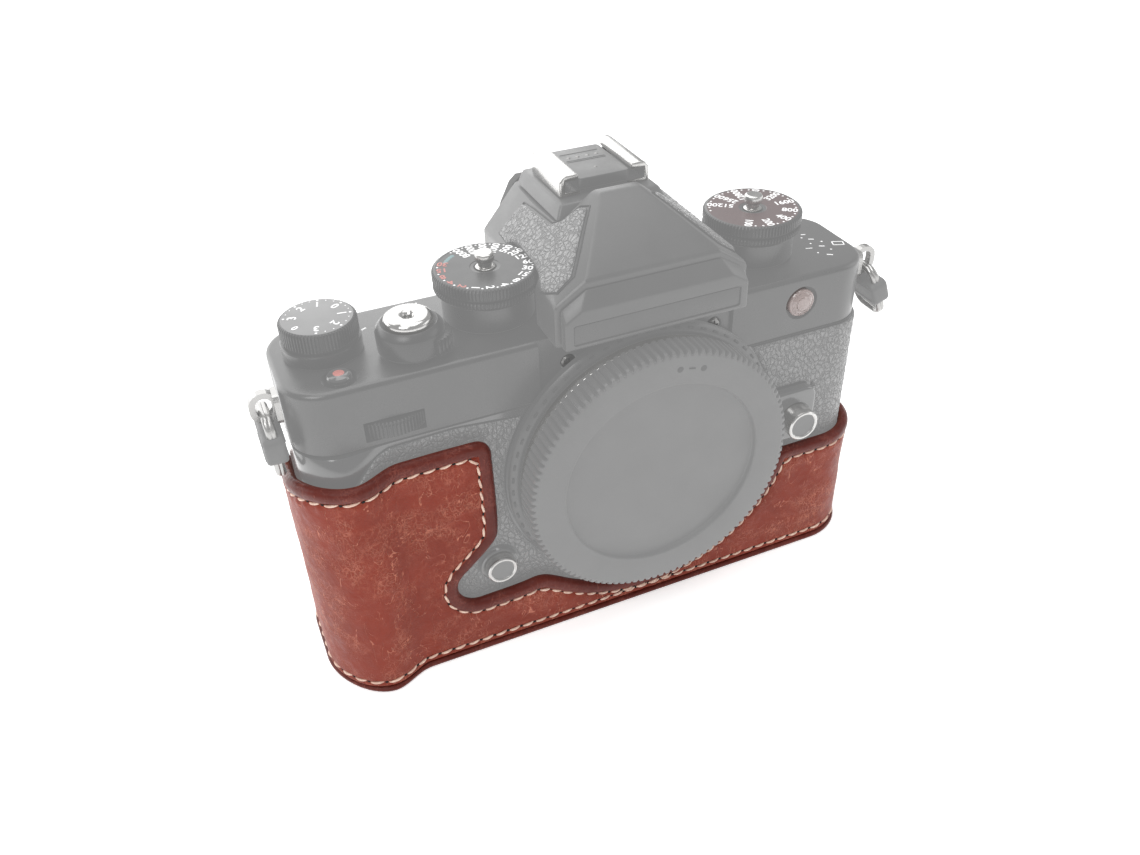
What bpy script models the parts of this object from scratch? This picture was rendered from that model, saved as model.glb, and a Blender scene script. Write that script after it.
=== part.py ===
"""Retro-styled interchangeable-lens camera standing in a leather half case.

Frame: +X to the right of someone who faces the camera's front, +Y from the front to the back, +Z up.
The origin is on the underside of the half case, midway between the two ends of the camera body.
All sizes below are millimetres; MM turns them into Blender's metres.
"""

import math

import bmesh
import bpy
from mathutils import Matrix, Vector

MM = 0.001
TINY = 0.0000005
GAP = 0.3
ROUND = 36

# Camera body
HALF_WIDTH = 68.6
FRONT, BACK = -16.0, 14.0
CORNER = 9.0
BODY_BOTTOM, COVER_BOTTOM, COVER_TOP = 3.0, 65.0, 79.7
WALL = 2.0
LENS_X, LENS_Z = 8.0, 44.4

# Grip: a low swelling at the front of one end
GRIP_X, GRIP_DEPTH = -59.5, 3.3
GRIP_INNER_REACH, GRIP_OUTER_REACH = 10.0, 17.0

# Half case
CASE_CLEARANCE, CASE_END_CLEARANCE, LEATHER = 2.0, 0.5, 2.4
CASE_BASE = 2.2
CASE_WELT = 0.8
CASE_FRONT_TOP, CASE_LEFT_TOP, CASE_RIGHT_TOP, CASE_BACK_TOP = 61.5, 54.0, 34.0, 10.0
CASE_SCREW_X, CASE_SCREW_Y = 8.0, -1.0

# Viewfinder hump: half widths, depths and heights of its corners about the lens axis
HUMP_FRONT, HUMP_BACK = -20.5, 24.0
HUMP_HALF, HUMP_BACK_HALF = 22.3, 21.6
HUMP_SHOULDER_FRONT, HUMP_SHOULDER_BACK = 89.5, 88.0
HUMP_LIP_HALF, HUMP_LIP = 15.5, 94.0
HUMP_PEAK_HALF, HUMP_PEAK_Y, HUMP_PEAK = 4.6, -4.0, 104.2
HUMP_BACK_TOP_HALF, HUMP_BACK_TOP = 10.5, 101.0
NOSE_FRONT = -23.2

# Hot shoe
SHOE_FRONT, SHOE_BACK = 3.0, 21.0
SHOE_TOP, SHOE_FLOOR = 106.0, 101.4
SHOE_HALF, SHOE_SLOT_HALF, RAIL = 10.6, 6.25, 1.3

# Dials on the top cover: centre x, centre y, radius
EV_DIAL = (-57.4, 0.9, 8.0)
SHUTTER_DIAL = (-21.2, 0.6, 11.4)
ISO_DIAL = (44.2, 0.4, 11.4)
DIAL_TOP, EV_DIAL_TOP = 91.0, 87.7
LEVER_LOW, LEVER_HIGH = COVER_TOP + GAP, 86.2
LOCK_RADIUS, LOCK_TOP = 2.1, 94.2
SHUTTER_BUTTON = (-40.7, -7.2, 5.1)
POWER_LEVER_RADIUS, POWER_LEVER_TOP = 7.1, 86.8
SHUTTER_BUTTON_TOP = 88.4
MOVIE_BUTTON = (-56.8, -11.0, 2.5)

# Wheels that show through slots in the top cover's front and back: centre x, centre y, radius
FRONT_WHEEL = (-48.2, -8.3, 9.5)
REAR_WHEEL = (-58.0, 8.0, 7.6)
WHEEL_LOW, WHEEL_HIGH = 66.7, 70.5

# Lens mount and body cap: radii, then depths in front of y = 0
THROAT = 26.0
BEZEL_RADIUS = 34.0
MOUNT_RADIUS, MOUNT_FACE = 31.0, -20.6
CAP_RADIUS, CAP_FACE, CAP_BACK = 32.3, -27.7, -21.0
CAP_RECESS_RADIUS, CAP_RECESS = 24.0, 1.4
CAP_SPIGOT_RADIUS, CAP_SPIGOT_BACK = 24.6, -14.5

# Round buttons beside the mount: centre x, centre z, radius, face y
RELEASE_BUTTON = (48.9, 42.2, 4.1, -23.0)
FUNCTION_BUTTON = (-29.6, 23.6, 3.7, -20.4)
LAMP = (48.9, 72.9, 3.4)
PLAYBACK_BUTTON = (56.0, 72.5, 2.2)
FRONT_SCREWS = {"left": (-9.3, 72.6), "right": (26.2, 72.6)}
FRONT_SCREW_RADIUS, FRONT_SCREW_SEAT, FRONT_STEP = 1.7, -14.5, 0.9
FRONT_STEP_LEFT, FRONT_STEP_RIGHT = -16.4, 30.6
SKIN, FACE_RIM = 0.6, 0.3

# Back
SCREEN_LEFT, SCREEN_RIGHT, SCREEN_LOW, SCREEN_HIGH = -22.0, 61.5, 11.5, 62.5
SCREEN_FRONT, SCREEN_BACK = 14.6, 19.6
SCREEN_HINGE_X, SCREEN_HINGE_Y = 64.6, 17.4
LOCK_BUTTON, DIRECTION_PAD, CONFIRM_RADIUS = (-37.0, 56.0, 2.4), (-45.5, 36.5, 9.0), 3.5
EYECUP_BACK = 28.6
EYEPIECE_Z, EYEPIECE_HALF, EYEPIECE_HALF_HEIGHT = 89.2, 9.2, 5.4

# Strap lugs and rings
LUG_Y, LUG_LOW, LUG_HIGH = -7.2, 71.4, 78.6
LUG_REACH, LUG_BAR = 6.3, 1.3
RING_WIRE, RING_HALF, RING_DROP = 0.75, 4.6, 13.6
GUARD_HIGH, GUARD_LOW = -3.2, -9.6
RIGHT_RING_LEAN = math.radians(-20)


# ---------------------------------------------------------------- building blocks


def clear_scene():
    for item in list(bpy.data.objects):
        bpy.data.objects.remove(item, do_unlink=True)


def make_collection(name):
    made = bpy.data.collections.new(name)
    bpy.context.scene.collection.children.link(made)
    return made


def make_material(name, colour, roughness, metallic=0.0):
    made = bpy.data.materials.new(name)
    made.use_nodes = True
    shader = made.node_tree.nodes["Principled BSDF"]
    shader.inputs["Base Color"].default_value = (*colour, 1.0)
    shader.inputs["Roughness"].default_value = roughness
    shader.inputs["Metallic"].default_value = metallic
    return made


def put(name, mesh, material, collection, smooth_angle=35):
    """A named object in a collection, shaded smooth up to an angle between faces."""
    made = bpy.data.objects.new(name, mesh)
    collection.objects.link(made)
    if material:
        mesh.materials.clear()
        mesh.materials.append(material)
    mesh.shade_smooth()
    mesh.set_sharp_from_angle(angle=math.radians(smooth_angle))
    return made


def tidy_mesh(mesh):
    """Welds loose caps and turns every face outwards."""
    shape = bmesh.new()
    shape.from_mesh(mesh)
    bmesh.ops.remove_doubles(shape, verts=shape.verts, dist=TINY)
    bmesh.ops.recalc_face_normals(shape, faces=shape.faces)
    shape.to_mesh(mesh)
    shape.free()
    return mesh


def frozen(item):
    """The evaluated mesh of an object, which is then removed."""
    graph = bpy.context.evaluated_depsgraph_get()
    graph.update()
    mesh = bpy.data.meshes.new_from_object(item.evaluated_get(graph))
    mesh.transform(item.matrix_world)
    bpy.data.objects.remove(item, do_unlink=True)
    return tidy_mesh(mesh)


def outline_mesh(loops, low, high):
    """A flat outline, with any holes, extruded along Z from low to high."""
    curve = bpy.data.curves.new("outline", "CURVE")
    curve.dimensions = "2D"
    curve.fill_mode = "BOTH"
    curve.extrude = (high - low) / 2 * MM
    for loop in loops:
        spline = curve.splines.new("POLY")
        spline.points.add(len(loop) - 1)
        for point, (x, y) in zip(spline.points, loop):
            point.co = (x * MM, y * MM, 0.0, 1.0)
        spline.use_cyclic_u = True
    guide = bpy.data.objects.new("outline", curve)
    bpy.context.scene.collection.objects.link(guide)
    guide.location.z = (low + high) / 2 * MM
    bpy.context.view_layer.update()
    return frozen(guide)


def slab(name, loops, low, high, material, collection):
    """An outline in plan, extruded upwards."""
    return put(name, outline_mesh(loops, low, high), material, collection)


def front_slab(name, loops, front, back, material, collection):
    """An outline drawn in X and Z, extruded from y = front to y = back."""
    mesh = outline_mesh(loops, -back, -front)
    mesh.transform(Matrix.Rotation(math.radians(90), 4, "X"))
    return put(name, mesh, material, collection)


def side_slab(name, loops, left, right, material, collection):
    """An outline drawn in Y and Z, extruded from x = left to x = right."""
    mesh = outline_mesh(loops, left, right)
    mesh.transform(Matrix(((0, 0, 1, 0), (1, 0, 0, 0), (0, 1, 0, 0), (0, 0, 0, 1))))
    return put(name, mesh, material, collection)


TURNS = {"up": (0, 0, 0), "front": (math.pi / 2, 0, 0), "back": (-math.pi / 2, 0, 0)}


def turned(name, profile, centre, material, collection, facing="up", steps=ROUND, closed=False):
    """A profile of (radius, height) points turned about the axis that faces up, front or back."""
    mesh = bpy.data.meshes.new(name)
    edges = [(i, i + 1) for i in range(len(profile) - 1)]
    if closed:
        edges.append((len(profile) - 1, 0))
    mesh.from_pydata([(r * MM, 0, h * MM) for r, h in profile], edges, [])
    item = bpy.data.objects.new(name, mesh)
    bpy.context.scene.collection.objects.link(item)
    screw = item.modifiers.new("turn", "SCREW")
    screw.steps = screw.render_steps = steps
    screw.use_merge_vertices = True
    screw.merge_threshold = TINY
    mesh = frozen(item)
    made = put(name, mesh, material, collection)
    made.location = Vector(centre) * MM
    made.rotation_euler = TURNS[facing]
    return made


def drum(name, radius, low, high, centre, material, collection, facing="up", edge=0.0, steps=ROUND):
    """A cylinder from low to high along its axis, with its far rim chamfered by edge."""
    rim = [(radius, high - edge), (radius - edge, high)] if edge else [(radius, high)]
    profile = [(0, low), (radius, low), *rim, (0, high)]
    return turned(name, profile, centre, material, collection, facing, steps)


def tube(name, inner, outer, low, high, centre, material, collection, facing="up", edge=0.0, steps=ROUND):
    """A ring with straight walls, with its outer far rim chamfered by edge."""
    rim = [(outer, high - edge), (outer - edge, high)] if edge else [(outer, high)]
    profile = [(inner, low), (outer, low), *rim, (inner, high)]
    return turned(name, profile, centre, material, collection, facing, steps, closed=True)


def wire(name, points, radius, material, collection, cyclic=False):
    """A bent round wire through a list of points."""
    curve = bpy.data.curves.new(name, "CURVE")
    curve.dimensions = "3D"
    curve.bevel_depth = radius * MM
    curve.bevel_resolution = 1
    curve.use_fill_caps = not cyclic
    spline = curve.splines.new("POLY")
    spline.points.add(len(points) - 1)
    for point, place in zip(spline.points, points):
        point.co = (*(Vector(place) * MM), 1.0)
    spline.use_cyclic_u = cyclic
    guide = bpy.data.objects.new(name, curve)
    bpy.context.scene.collection.objects.link(guide)
    return put(name, frozen(guide), material, collection)


def hull(name, points, material, collection):
    """The convex solid with these corners."""
    shape = bmesh.new()
    for place in points:
        shape.verts.new(Vector(place) * MM)
    made = bmesh.ops.convex_hull(shape, input=shape.verts)
    inside = [v for v in made["geom_interior"] if isinstance(v, bmesh.types.BMVert)]
    bmesh.ops.delete(shape, geom=inside, context="VERTS")
    bmesh.ops.dissolve_limit(shape, angle_limit=math.radians(0.3), verts=shape.verts, edges=shape.edges)
    bmesh.ops.recalc_face_normals(shape, faces=shape.faces)
    mesh = bpy.data.meshes.new(name)
    shape.to_mesh(mesh)
    shape.free()
    return put(name, mesh, material, collection, smooth_angle=20)


def cut(item, *cutters):
    """Takes the cutters' solids out of an object."""
    for number, cutter in enumerate(cutters):
        step = item.modifiers.new(f"cut_{number}", "BOOLEAN")
        step.operation = "DIFFERENCE"
        step.solver = "EXACT"
        step.object = cutter
        cutter.hide_render = True
        cutter.display_type = "WIRE"
    return item


def joined(item, *others):
    """Joins other solids into an object as one body."""
    for number, other in enumerate(others):
        step = item.modifiers.new(f"join_{number}", "BOOLEAN")
        step.operation = "UNION"
        step.solver = "EXACT"
        step.object = other
        other.hide_render = True
        other.display_type = "WIRE"
    return item


# ---------------------------------------------------------------- outlines


def arc(centre_x, centre_y, radius, start, end, steps):
    """Points on a circle between two angles in degrees."""
    for i in range(steps + 1):
        angle = math.radians(start + (end - start) * i / steps)
        yield centre_x + radius * math.cos(angle), centre_y + radius * math.sin(angle)


def rounded_box(left, right, low, high, radius, steps=5):
    """A rectangle with round corners, anticlockwise."""
    corners = [(right, high, 0), (left, high, 90), (left, low, 180), (right, low, 270)]
    loop = []
    for x, y, start in corners:
        centre_x = x - math.copysign(radius, x - left - 0.001)
        centre_y = y - math.copysign(radius, y - low - 0.001)
        loop += list(arc(centre_x, centre_y, radius, start, start + 90, steps))
    return loop


def circle(centre_x, centre_y, radius, steps=ROUND):
    return list(arc(centre_x, centre_y, radius, 0, 360 - 360 / steps, steps - 1))


def grip_swell(x):
    """How far the grip stands forward of the flat front at x."""
    reach = GRIP_INNER_REACH if x > GRIP_X else GRIP_OUTER_REACH
    share = min(1.0, abs(x - GRIP_X) / reach)
    return GRIP_DEPTH * math.cos(share * math.pi / 2) ** 2


def body_outline(offset=0.0, with_grip=True, steps=5, end_offset=None):
    """The camera body in plan, grown outwards by offset, and at its two ends by end_offset."""
    half = HALF_WIDTH + (offset if end_offset is None else end_offset)
    loop = rounded_box(-half, half, FRONT - offset, BACK + offset, CORNER + offset, steps)
    if not with_grip:
        return loop
    front_edge = [x for x, y in loop if y < FRONT - offset + 0.01]
    left, right = min(front_edge), GRIP_X + GRIP_INNER_REACH
    count = 9
    start = max(i for i, (x, y) in enumerate(loop) if abs(x - left) < 0.01 and y < 0)
    extra = [(left + (right - left) * i / count, FRONT - offset) for i in range(1, count + 1)]
    loop = loop[: start + 1] + extra + loop[start + 1 :]
    return [(x, y - grip_swell(x) if y < -5 else y) for x, y in loop]


def case_outline(growth=0.0):
    """The half case in plan, from its inner face outwards."""
    return body_outline(CASE_CLEARANCE + growth, end_offset=CASE_END_CLEARANCE + growth)


def case_front_edge():
    """The free edge of the case's front, from the lens side to the grip side, in X and Z."""
    edge = [(75.0, CASE_RIGHT_TOP), (46.5, CASE_RIGHT_TOP)]
    edge += list(arc(46.5, CASE_RIGHT_TOP - 3, 3, 90, 160, 3))
    edge += list(arc(LENS_X, LENS_Z, 37.8, -22, -128, 16))
    edge += [(-19.5, 17.2), (-25.0, 16.3)]
    edge += list(arc(-35.0, 21.6, 5.6, -80, -240, 8))
    edge += [(-30.6, 33.0), (-29.4, 36.5), (-29.6, 57.5)]
    edge += list(arc(-33.1, 58.0, 3.5, 0, 90, 4))
    edge += [(-45.0, CASE_FRONT_TOP), (-62.0, CASE_FRONT_TOP - 0.6), (-67.0, CASE_FRONT_TOP - 1.6)]
    return edge


# ---------------------------------------------------------------- the half case


def build_case(parts, cutters, looks):
    shell = slab("case_shell", [case_outline(LEATHER), case_outline()], CASE_BASE + GAP, CASE_FRONT_TOP + 2,
                 looks["leather"], parts)
    far, high = 90.0, 90.0
    front_edge = case_front_edge()
    above_front = front_slab(
        "above_front_edge",
        [[(front_edge[0][0], high), *front_edge, (-far, CASE_FRONT_TOP - 2.5), (-far, high)]],
        -60.0, -11.0, None, cutters)
    slope_front, slope_back = -11.5, 0.0
    left_edge = [(slope_front, CASE_FRONT_TOP - 2.5), (slope_back, CASE_LEFT_TOP), (6.0, CASE_LEFT_TOP),
                 (9.5, CASE_LEFT_TOP - 3), (11.0, CASE_LEFT_TOP - 8), (11.6, CASE_BACK_TOP + 4),
                 (13.0, CASE_BACK_TOP + 1), (15.0, CASE_BACK_TOP)]
    above_left = side_slab(
        "above_left_edge", [[(slope_front, high), *left_edge, (60.0, CASE_BACK_TOP), (60.0, high)]],
        -far, 0.0, None, cutters)
    right_edge = [(slope_front, CASE_RIGHT_TOP), (6.0, CASE_RIGHT_TOP), (9.5, CASE_RIGHT_TOP - 3),
                  (11.0, CASE_RIGHT_TOP - 8), (11.6, CASE_BACK_TOP + 4), (13.0, CASE_BACK_TOP + 1),
                  (15.0, CASE_BACK_TOP)]
    above_right = side_slab(
        "above_right_edge", [[(slope_front, high), *right_edge, (60.0, CASE_BACK_TOP), (60.0, high)]],
        -0.01, far, None, cutters)
    cut(shell, above_front, above_left, above_right)

    hole = circle(CASE_SCREW_X, CASE_SCREW_Y, 6.6, 24)
    slab("case_base", [case_outline(LEATHER + CASE_WELT), hole], 0.0, CASE_BASE,
         looks["leather"], parts)
    centre = (CASE_SCREW_X, CASE_SCREW_Y, 0)
    screw = turned("case_screw",
                   [(0, 0.1), (6.2, 0.1), (6.2, 1.3), (2.9, 1.3), (2.9, 6.4), (0, 6.4)],
                   centre, looks["bright_metal"], parts, steps=24)
    slot = slab("screw_slot", [rounded_box(CASE_SCREW_X - 5, CASE_SCREW_X + 5, CASE_SCREW_Y - 0.7,
                                           CASE_SCREW_Y + 0.7, 0.3, 2)], -1.0, 0.8, None, cutters)
    cut(screw, slot)


# ---------------------------------------------------------------- the camera body


def build_body(parts, cutters, looks):
    casting = slab("body_casting", [body_outline(), body_outline(-WALL, with_grip=False)],
                   BODY_BOTTOM, COVER_BOTTOM - GAP, looks["black_metal"], parts)
    throat = drum("throat", THROAT + 1.5, 0, 20, (LENS_X, -2, LENS_Z), None, cutters, "front", steps=40)
    wells = []
    for name, (x, z, radius, _) in (("release_well", RELEASE_BUTTON), ("function_well", FUNCTION_BUTTON)):
        wells.append(drum(name, radius + 0.3, 0, 12, (x, -8, z), None, cutters, "front", steps=24))
    for name, (x, z, radius) in (("lock", LOCK_BUTTON), ("pad", DIRECTION_PAD)):
        wells.append(drum(f"{name}_rear_well", radius + 0.3, 0, 12, (x, 8, z), None, cutters, "back",
                          steps=32))
    cut(casting, throat, *wells)

    plate_outline = body_outline(-WALL - GAP, with_grip=False)
    slab("base_plate", [plate_outline, circle(CASE_SCREW_X, CASE_SCREW_Y, 4.6, 24)],
         BODY_BOTTOM, BODY_BOTTOM + 1.6, looks["black_metal"], parts)
    tube("tripod_bush", 3.2, 4.3, BODY_BOTTOM, BODY_BOTTOM + 5.5, (CASE_SCREW_X, CASE_SCREW_Y, 0),
         looks["bright_metal"], parts, steps=24)

    skin_front, skin_back = FRONT - GAP - SKIN, FRONT - GAP
    grip_side = [(-48.6, 6.0), (-25.5, 6.0), (-24.0, 62.8), (-36.0, 64.0), (-45.5, 63.6), (-48.6, 61.0)]
    skin = front_slab("leatherette_grip_side", [grip_side], skin_front, skin_back, looks["leatherette"],
                      parts)
    function_clear = drum("function_clear", 5.2, 0, 30, (FUNCTION_BUTTON[0], 0, FUNCTION_BUTTON[1]), None,
                          cutters, "front", steps=24)
    bezel_clear = drum("bezel_clear", BEZEL_RADIUS + 0.5, 0, 30, (LENS_X, 0, LENS_Z), None, cutters,
                       "front", steps=40)
    cut(skin, function_clear, bezel_clear)
    lens_side = [(36.0, 6.0), (59.5, 6.0), (59.5, 64.4), (31.0, 64.4)]
    skin = front_slab("leatherette_lens_side", [lens_side], skin_front, skin_back, looks["leatherette"],
                      parts)
    release_clear = front_slab(
        "release_clear", [rounded_box(40.0, RELEASE_BUTTON[0] + 6.2, 35.0, 50.6, 3.0, 3)],
        -30.0, 0.0, None, cutters)
    cut(skin, bezel_clear, release_clear)

    x, z, radius, _ = RELEASE_BUTTON
    housing = front_slab("release_housing", [rounded_box(LENS_X + 33.4, x + 5.8, 35.4, 50.2, 3.0, 4)],
                         -18.9, FRONT - GAP, looks["black_metal"], parts)
    stem = drum("release_stem_clear", radius + 0.3, 0, 40, (x, 0, z), None, cutters, "front", steps=24)
    cut(housing, stem, bezel_clear)
    x, z, radius, _ = FUNCTION_BUTTON
    tube("function_collar", radius + 0.3, radius + 1.3, 0, 1.9, (x, FRONT - GAP, z),
         looks["black_metal"], parts, "front", edge=0.6, steps=28)


def build_cover(parts, cutters, looks):
    outline = body_outline(with_grip=False)
    inner = body_outline(-WALL, with_grip=False)
    cover = slab("top_cover", [outline], COVER_BOTTOM, COVER_TOP, looks["black_metal"], parts)
    rim = cover.modifiers.new("soft_edge", "BEVEL")
    rim.width = 1.2 * MM
    rim.segments = 2
    rim.limit_method = "ANGLE"
    rim.angle_limit = math.radians(60)
    hollow = slab("cover_hollow", [inner], COVER_BOTTOM - 5, COVER_TOP - 1.8, None, cutters)
    prism_well = slab("prism_well", [rounded_box(LENS_X - 15, LENS_X + 15, -12.0, 11.5, 1.0, 2)],
                      COVER_TOP - 8, COVER_TOP + 8, None, cutters)
    step_outline = [(FRONT_STEP_LEFT, COVER_BOTTOM - 15), (FRONT_STEP_RIGHT, COVER_BOTTOM - 15),
                    (FRONT_STEP_RIGHT, COVER_TOP + 5), (FRONT_STEP_LEFT, COVER_TOP + 5)]
    front_step = front_slab("front_step", [step_outline], FRONT - 5, FRONT + FRONT_STEP, None, cutters)
    throat = drum("cover_throat", THROAT + 1.5, 0, 20, (LENS_X, -2, LENS_Z), None, cutters, "front", steps=40)
    tools = [hollow, prism_well, front_step, throat]
    for name, (x, y, _) in (("ev", EV_DIAL), ("shutter", SHUTTER_DIAL), ("iso", ISO_DIAL)):
        tools.append(drum(f"{name}_shaft_clear", 2.4, 0, 20, (x, y, COVER_TOP - 10), None, cutters, steps=16))
    x, y, _ = SHUTTER_BUTTON
    tools.append(drum("release_shaft_clear", 4.4, 0, 20, (x, y, COVER_TOP - 10), None, cutters, steps=16))
    x, y, radius = MOVIE_BUTTON
    tools.append(drum("movie_well", radius + 0.9, 0, 20, (x, y, COVER_TOP - 1.2), None, cutters, steps=24))
    tools.append(drum("movie_shaft_clear", 1.5, 0, 20, (x, y, COVER_TOP - 10), None, cutters, steps=16))
    for name, (x, y, radius) in (("front_wheel", FRONT_WHEEL), ("rear_wheel", REAR_WHEEL)):
        tools.append(drum(f"{name}_clear", radius + 0.5, WHEEL_LOW - 0.5, WHEEL_HIGH + 0.5, (x, y, 0), None,
                          cutters, steps=36))
    x, z, radius = LAMP
    tools.append(drum("lamp_seat", radius + 0.3, 0, 12, (x, -10, z), None, cutters, "front", steps=28))
    x, z, radius = PLAYBACK_BUTTON
    tools.append(drum("playback_well", radius + GAP, 0, 12, (x, 6, z), None, cutters, "back", steps=20))
    for x, z in FRONT_SCREWS.values():
        tools.append(drum("front_screw_seat", FRONT_SCREW_RADIUS + GAP, 0, 12, (x, FRONT_SCREW_SEAT + GAP, z),
                          None,
                          cutters, "front", steps=20))
    cut(cover, *tools)

    for side, (x, z) in FRONT_SCREWS.items():
        drum(f"front_screw_{side}", FRONT_SCREW_RADIUS, 0, 0.9, (x, FRONT_SCREW_SEAT, z), looks["dark_metal"],
             parts,
             "front", edge=FACE_RIM, steps=20)

    x, z, radius = LAMP
    turned("assist_lamp", [(0, 0), (radius, 0), (radius, 3.0), (2.4, 3.6), (1.2, 3.9), (0, 4.0)],
           (x, FRONT + 3.2, z), looks["clear"], parts, "front", steps=28)


def build_hump(parts, cutters, looks):
    def corner(half, y, z):
        return [(LENS_X - half, y, z), (LENS_X + half, y, z)]

    low = COVER_TOP + GAP
    points = corner(HUMP_HALF, HUMP_FRONT, low) + corner(HUMP_BACK_HALF, HUMP_BACK, low)
    points += corner(HUMP_HALF, HUMP_FRONT, HUMP_SHOULDER_FRONT) + corner(HUMP_LIP_HALF, HUMP_FRONT, HUMP_LIP)
    points += corner(HUMP_PEAK_HALF, HUMP_PEAK_Y, HUMP_PEAK)
    points += corner(HUMP_BACK_HALF, HUMP_BACK, HUMP_SHOULDER_BACK)
    points += corner(HUMP_BACK_TOP_HALF, HUMP_BACK, HUMP_BACK_TOP)
    housing = hull("viewfinder_housing", points, looks["black_metal"], parts)
    hollow = slab("prism_hollow", [rounded_box(LENS_X - 13, LENS_X + 13, -14.0, 20.0, 1.0, 2)],
                  low - 5, 93.5, None, cutters)
    dial_notch = drum("dial_notch", SHUTTER_DIAL[2] + 1.3, 0, 40,
                      (SHUTTER_DIAL[0], SHUTTER_DIAL[1], low - 5), None, cutters, steps=48)
    shoe_seat = slab("shoe_seat", [rounded_box(LENS_X - 40, LENS_X + 40, -1.6, 40, 0.5, 1)],
                     97.7, 120, None, cutters)
    window = front_slab("eyepiece_window", [eyepiece_opening(GAP)], 15.0, 40.0, None, cutters)
    cut(housing, hollow, dial_notch, shoe_seat, window)

    hull("nose_panel",
         corner(21.2, NOSE_FRONT, 80.4) + corner(21.2, HUMP_FRONT - GAP, 80.4)
         + corner(21.2, NOSE_FRONT, 86.6) + corner(21.2, HUMP_FRONT - GAP, 89.0)
         + corner(17.4, NOSE_FRONT, 89.0) + corner(15.4, HUMP_FRONT - GAP, 92.6),
         looks["black_metal"], parts)

    for name, side in (("hump_leatherette_left", -1), ("hump_leatherette_right", 1)):
        hump_patch(name, side, looks["leatherette"], parts)

    base_points = corner(11.6, 0.4, SHOE_FLOOR - GAP) + corner(11.6, 22.5, SHOE_FLOOR - GAP)
    base_points += corner(13.2, -1.2, 98.0) + corner(13.2, 22.5, 98.0)
    base = hull("shoe_base", base_points, looks["black_metal"], parts)
    soft = base.modifiers.new("soft_edge", "BEVEL")
    soft.width = 0.6 * MM
    soft.segments = 2
    left, right = LENS_X - SHOE_HALF, LENS_X + SHOE_HALF
    slot = [(LENS_X - SHOE_SLOT_HALF, SHOE_TOP), (LENS_X - SHOE_SLOT_HALF, SHOE_TOP - RAIL),
            (left + RAIL, SHOE_TOP - RAIL), (left + RAIL, SHOE_FLOOR + 0.8), (right - RAIL, SHOE_FLOOR + 0.8),
            (right - RAIL, SHOE_TOP - RAIL), (LENS_X + SHOE_SLOT_HALF, SHOE_TOP - RAIL),
            (LENS_X + SHOE_SLOT_HALF, SHOE_TOP), (right - 0.8, SHOE_TOP), (right, SHOE_TOP - 0.8),
            (right, SHOE_FLOOR), (left, SHOE_FLOOR), (left, SHOE_TOP - 0.8), (left + 0.8, SHOE_TOP)]
    front_slab("hot_shoe", [slot], SHOE_FRONT, SHOE_BACK, looks["bright_metal"], parts)
    slab("shoe_contact_plate", [rounded_box(LENS_X - 5.8, LENS_X + 5.8, SHOE_FRONT + 3.0, SHOE_BACK - 1.0,
                                            1.0, 2)],
         SHOE_FLOOR + 0.8 + GAP, SHOE_FLOOR + 1.3, looks["dark_metal"], parts)


def side_half(y, z):
    """Half width of the hump's sloping side at a depth and height, from the planes through its corners."""
    a = Vector((HUMP_HALF, HUMP_FRONT, HUMP_SHOULDER_FRONT))
    b = Vector((HUMP_LIP_HALF, HUMP_FRONT, HUMP_LIP))
    c = Vector((HUMP_PEAK_HALF, HUMP_PEAK_Y, HUMP_PEAK))
    d = Vector((HUMP_BACK_HALF, HUMP_BACK, HUMP_SHOULDER_BACK))
    e = Vector((HUMP_BACK_TOP_HALF, HUMP_BACK, HUMP_BACK_TOP))
    halves = []
    for p, q, r in ((a, b, c), (a, c, e), (a, e, d)):
        normal = (q - p).cross(r - p)
        halves.append(p.x - (normal.y * (y - p.y) + normal.z * (z - p.z)) / normal.x)
    return min(halves)


def hump_patch(name, side, material, collection):
    """A thin leatherette inlay that follows one sloping side of the hump."""
    low_edge = [(-17.2, 91.6), (-12.0, 90.9), (-11.0, 91.2), (-4.0, 91.6), (4.0, 91.6), (9.0, 91.0),
                (15.5, 90.6)]
    high_edge = [(-17.0, 92.4), (-13.0, 95.2), (-9.5, 97.0), (-4.0, 97.0), (4.0, 97.0), (9.0, 97.0),
                 (14.0, 96.4)]
    rows = 3
    shape = bmesh.new()
    grid = []
    for (y_low, z_low), (y_high, z_high) in zip(low_edge, high_edge):
        column = []
        for row in range(rows + 1):
            y = y_low + (y_high - y_low) * row / rows
            z = z_low + (z_high - z_low) * row / rows
            half = side_half(y, z) + 0.5
            column.append(shape.verts.new(Vector((LENS_X + side * half, y, z)) * MM))
        grid.append(column)
    for first, second in zip(grid, grid[1:]):
        for row in range(rows):
            shape.faces.new((first[row], second[row], second[row + 1], first[row + 1]))
    bmesh.ops.recalc_face_normals(shape, faces=shape.faces)
    shape.faces.ensure_lookup_table()
    if shape.faces[0].normal.x * side < 0:
        bmesh.ops.reverse_faces(shape, faces=shape.faces)
    mesh = bpy.data.meshes.new(name)
    shape.to_mesh(mesh)
    shape.free()
    patch = put(name, mesh, material, collection)
    skin = patch.modifiers.new("thickness", "SOLIDIFY")
    skin.thickness = 0.5 * MM
    skin.offset = 1.0
    return patch


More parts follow.
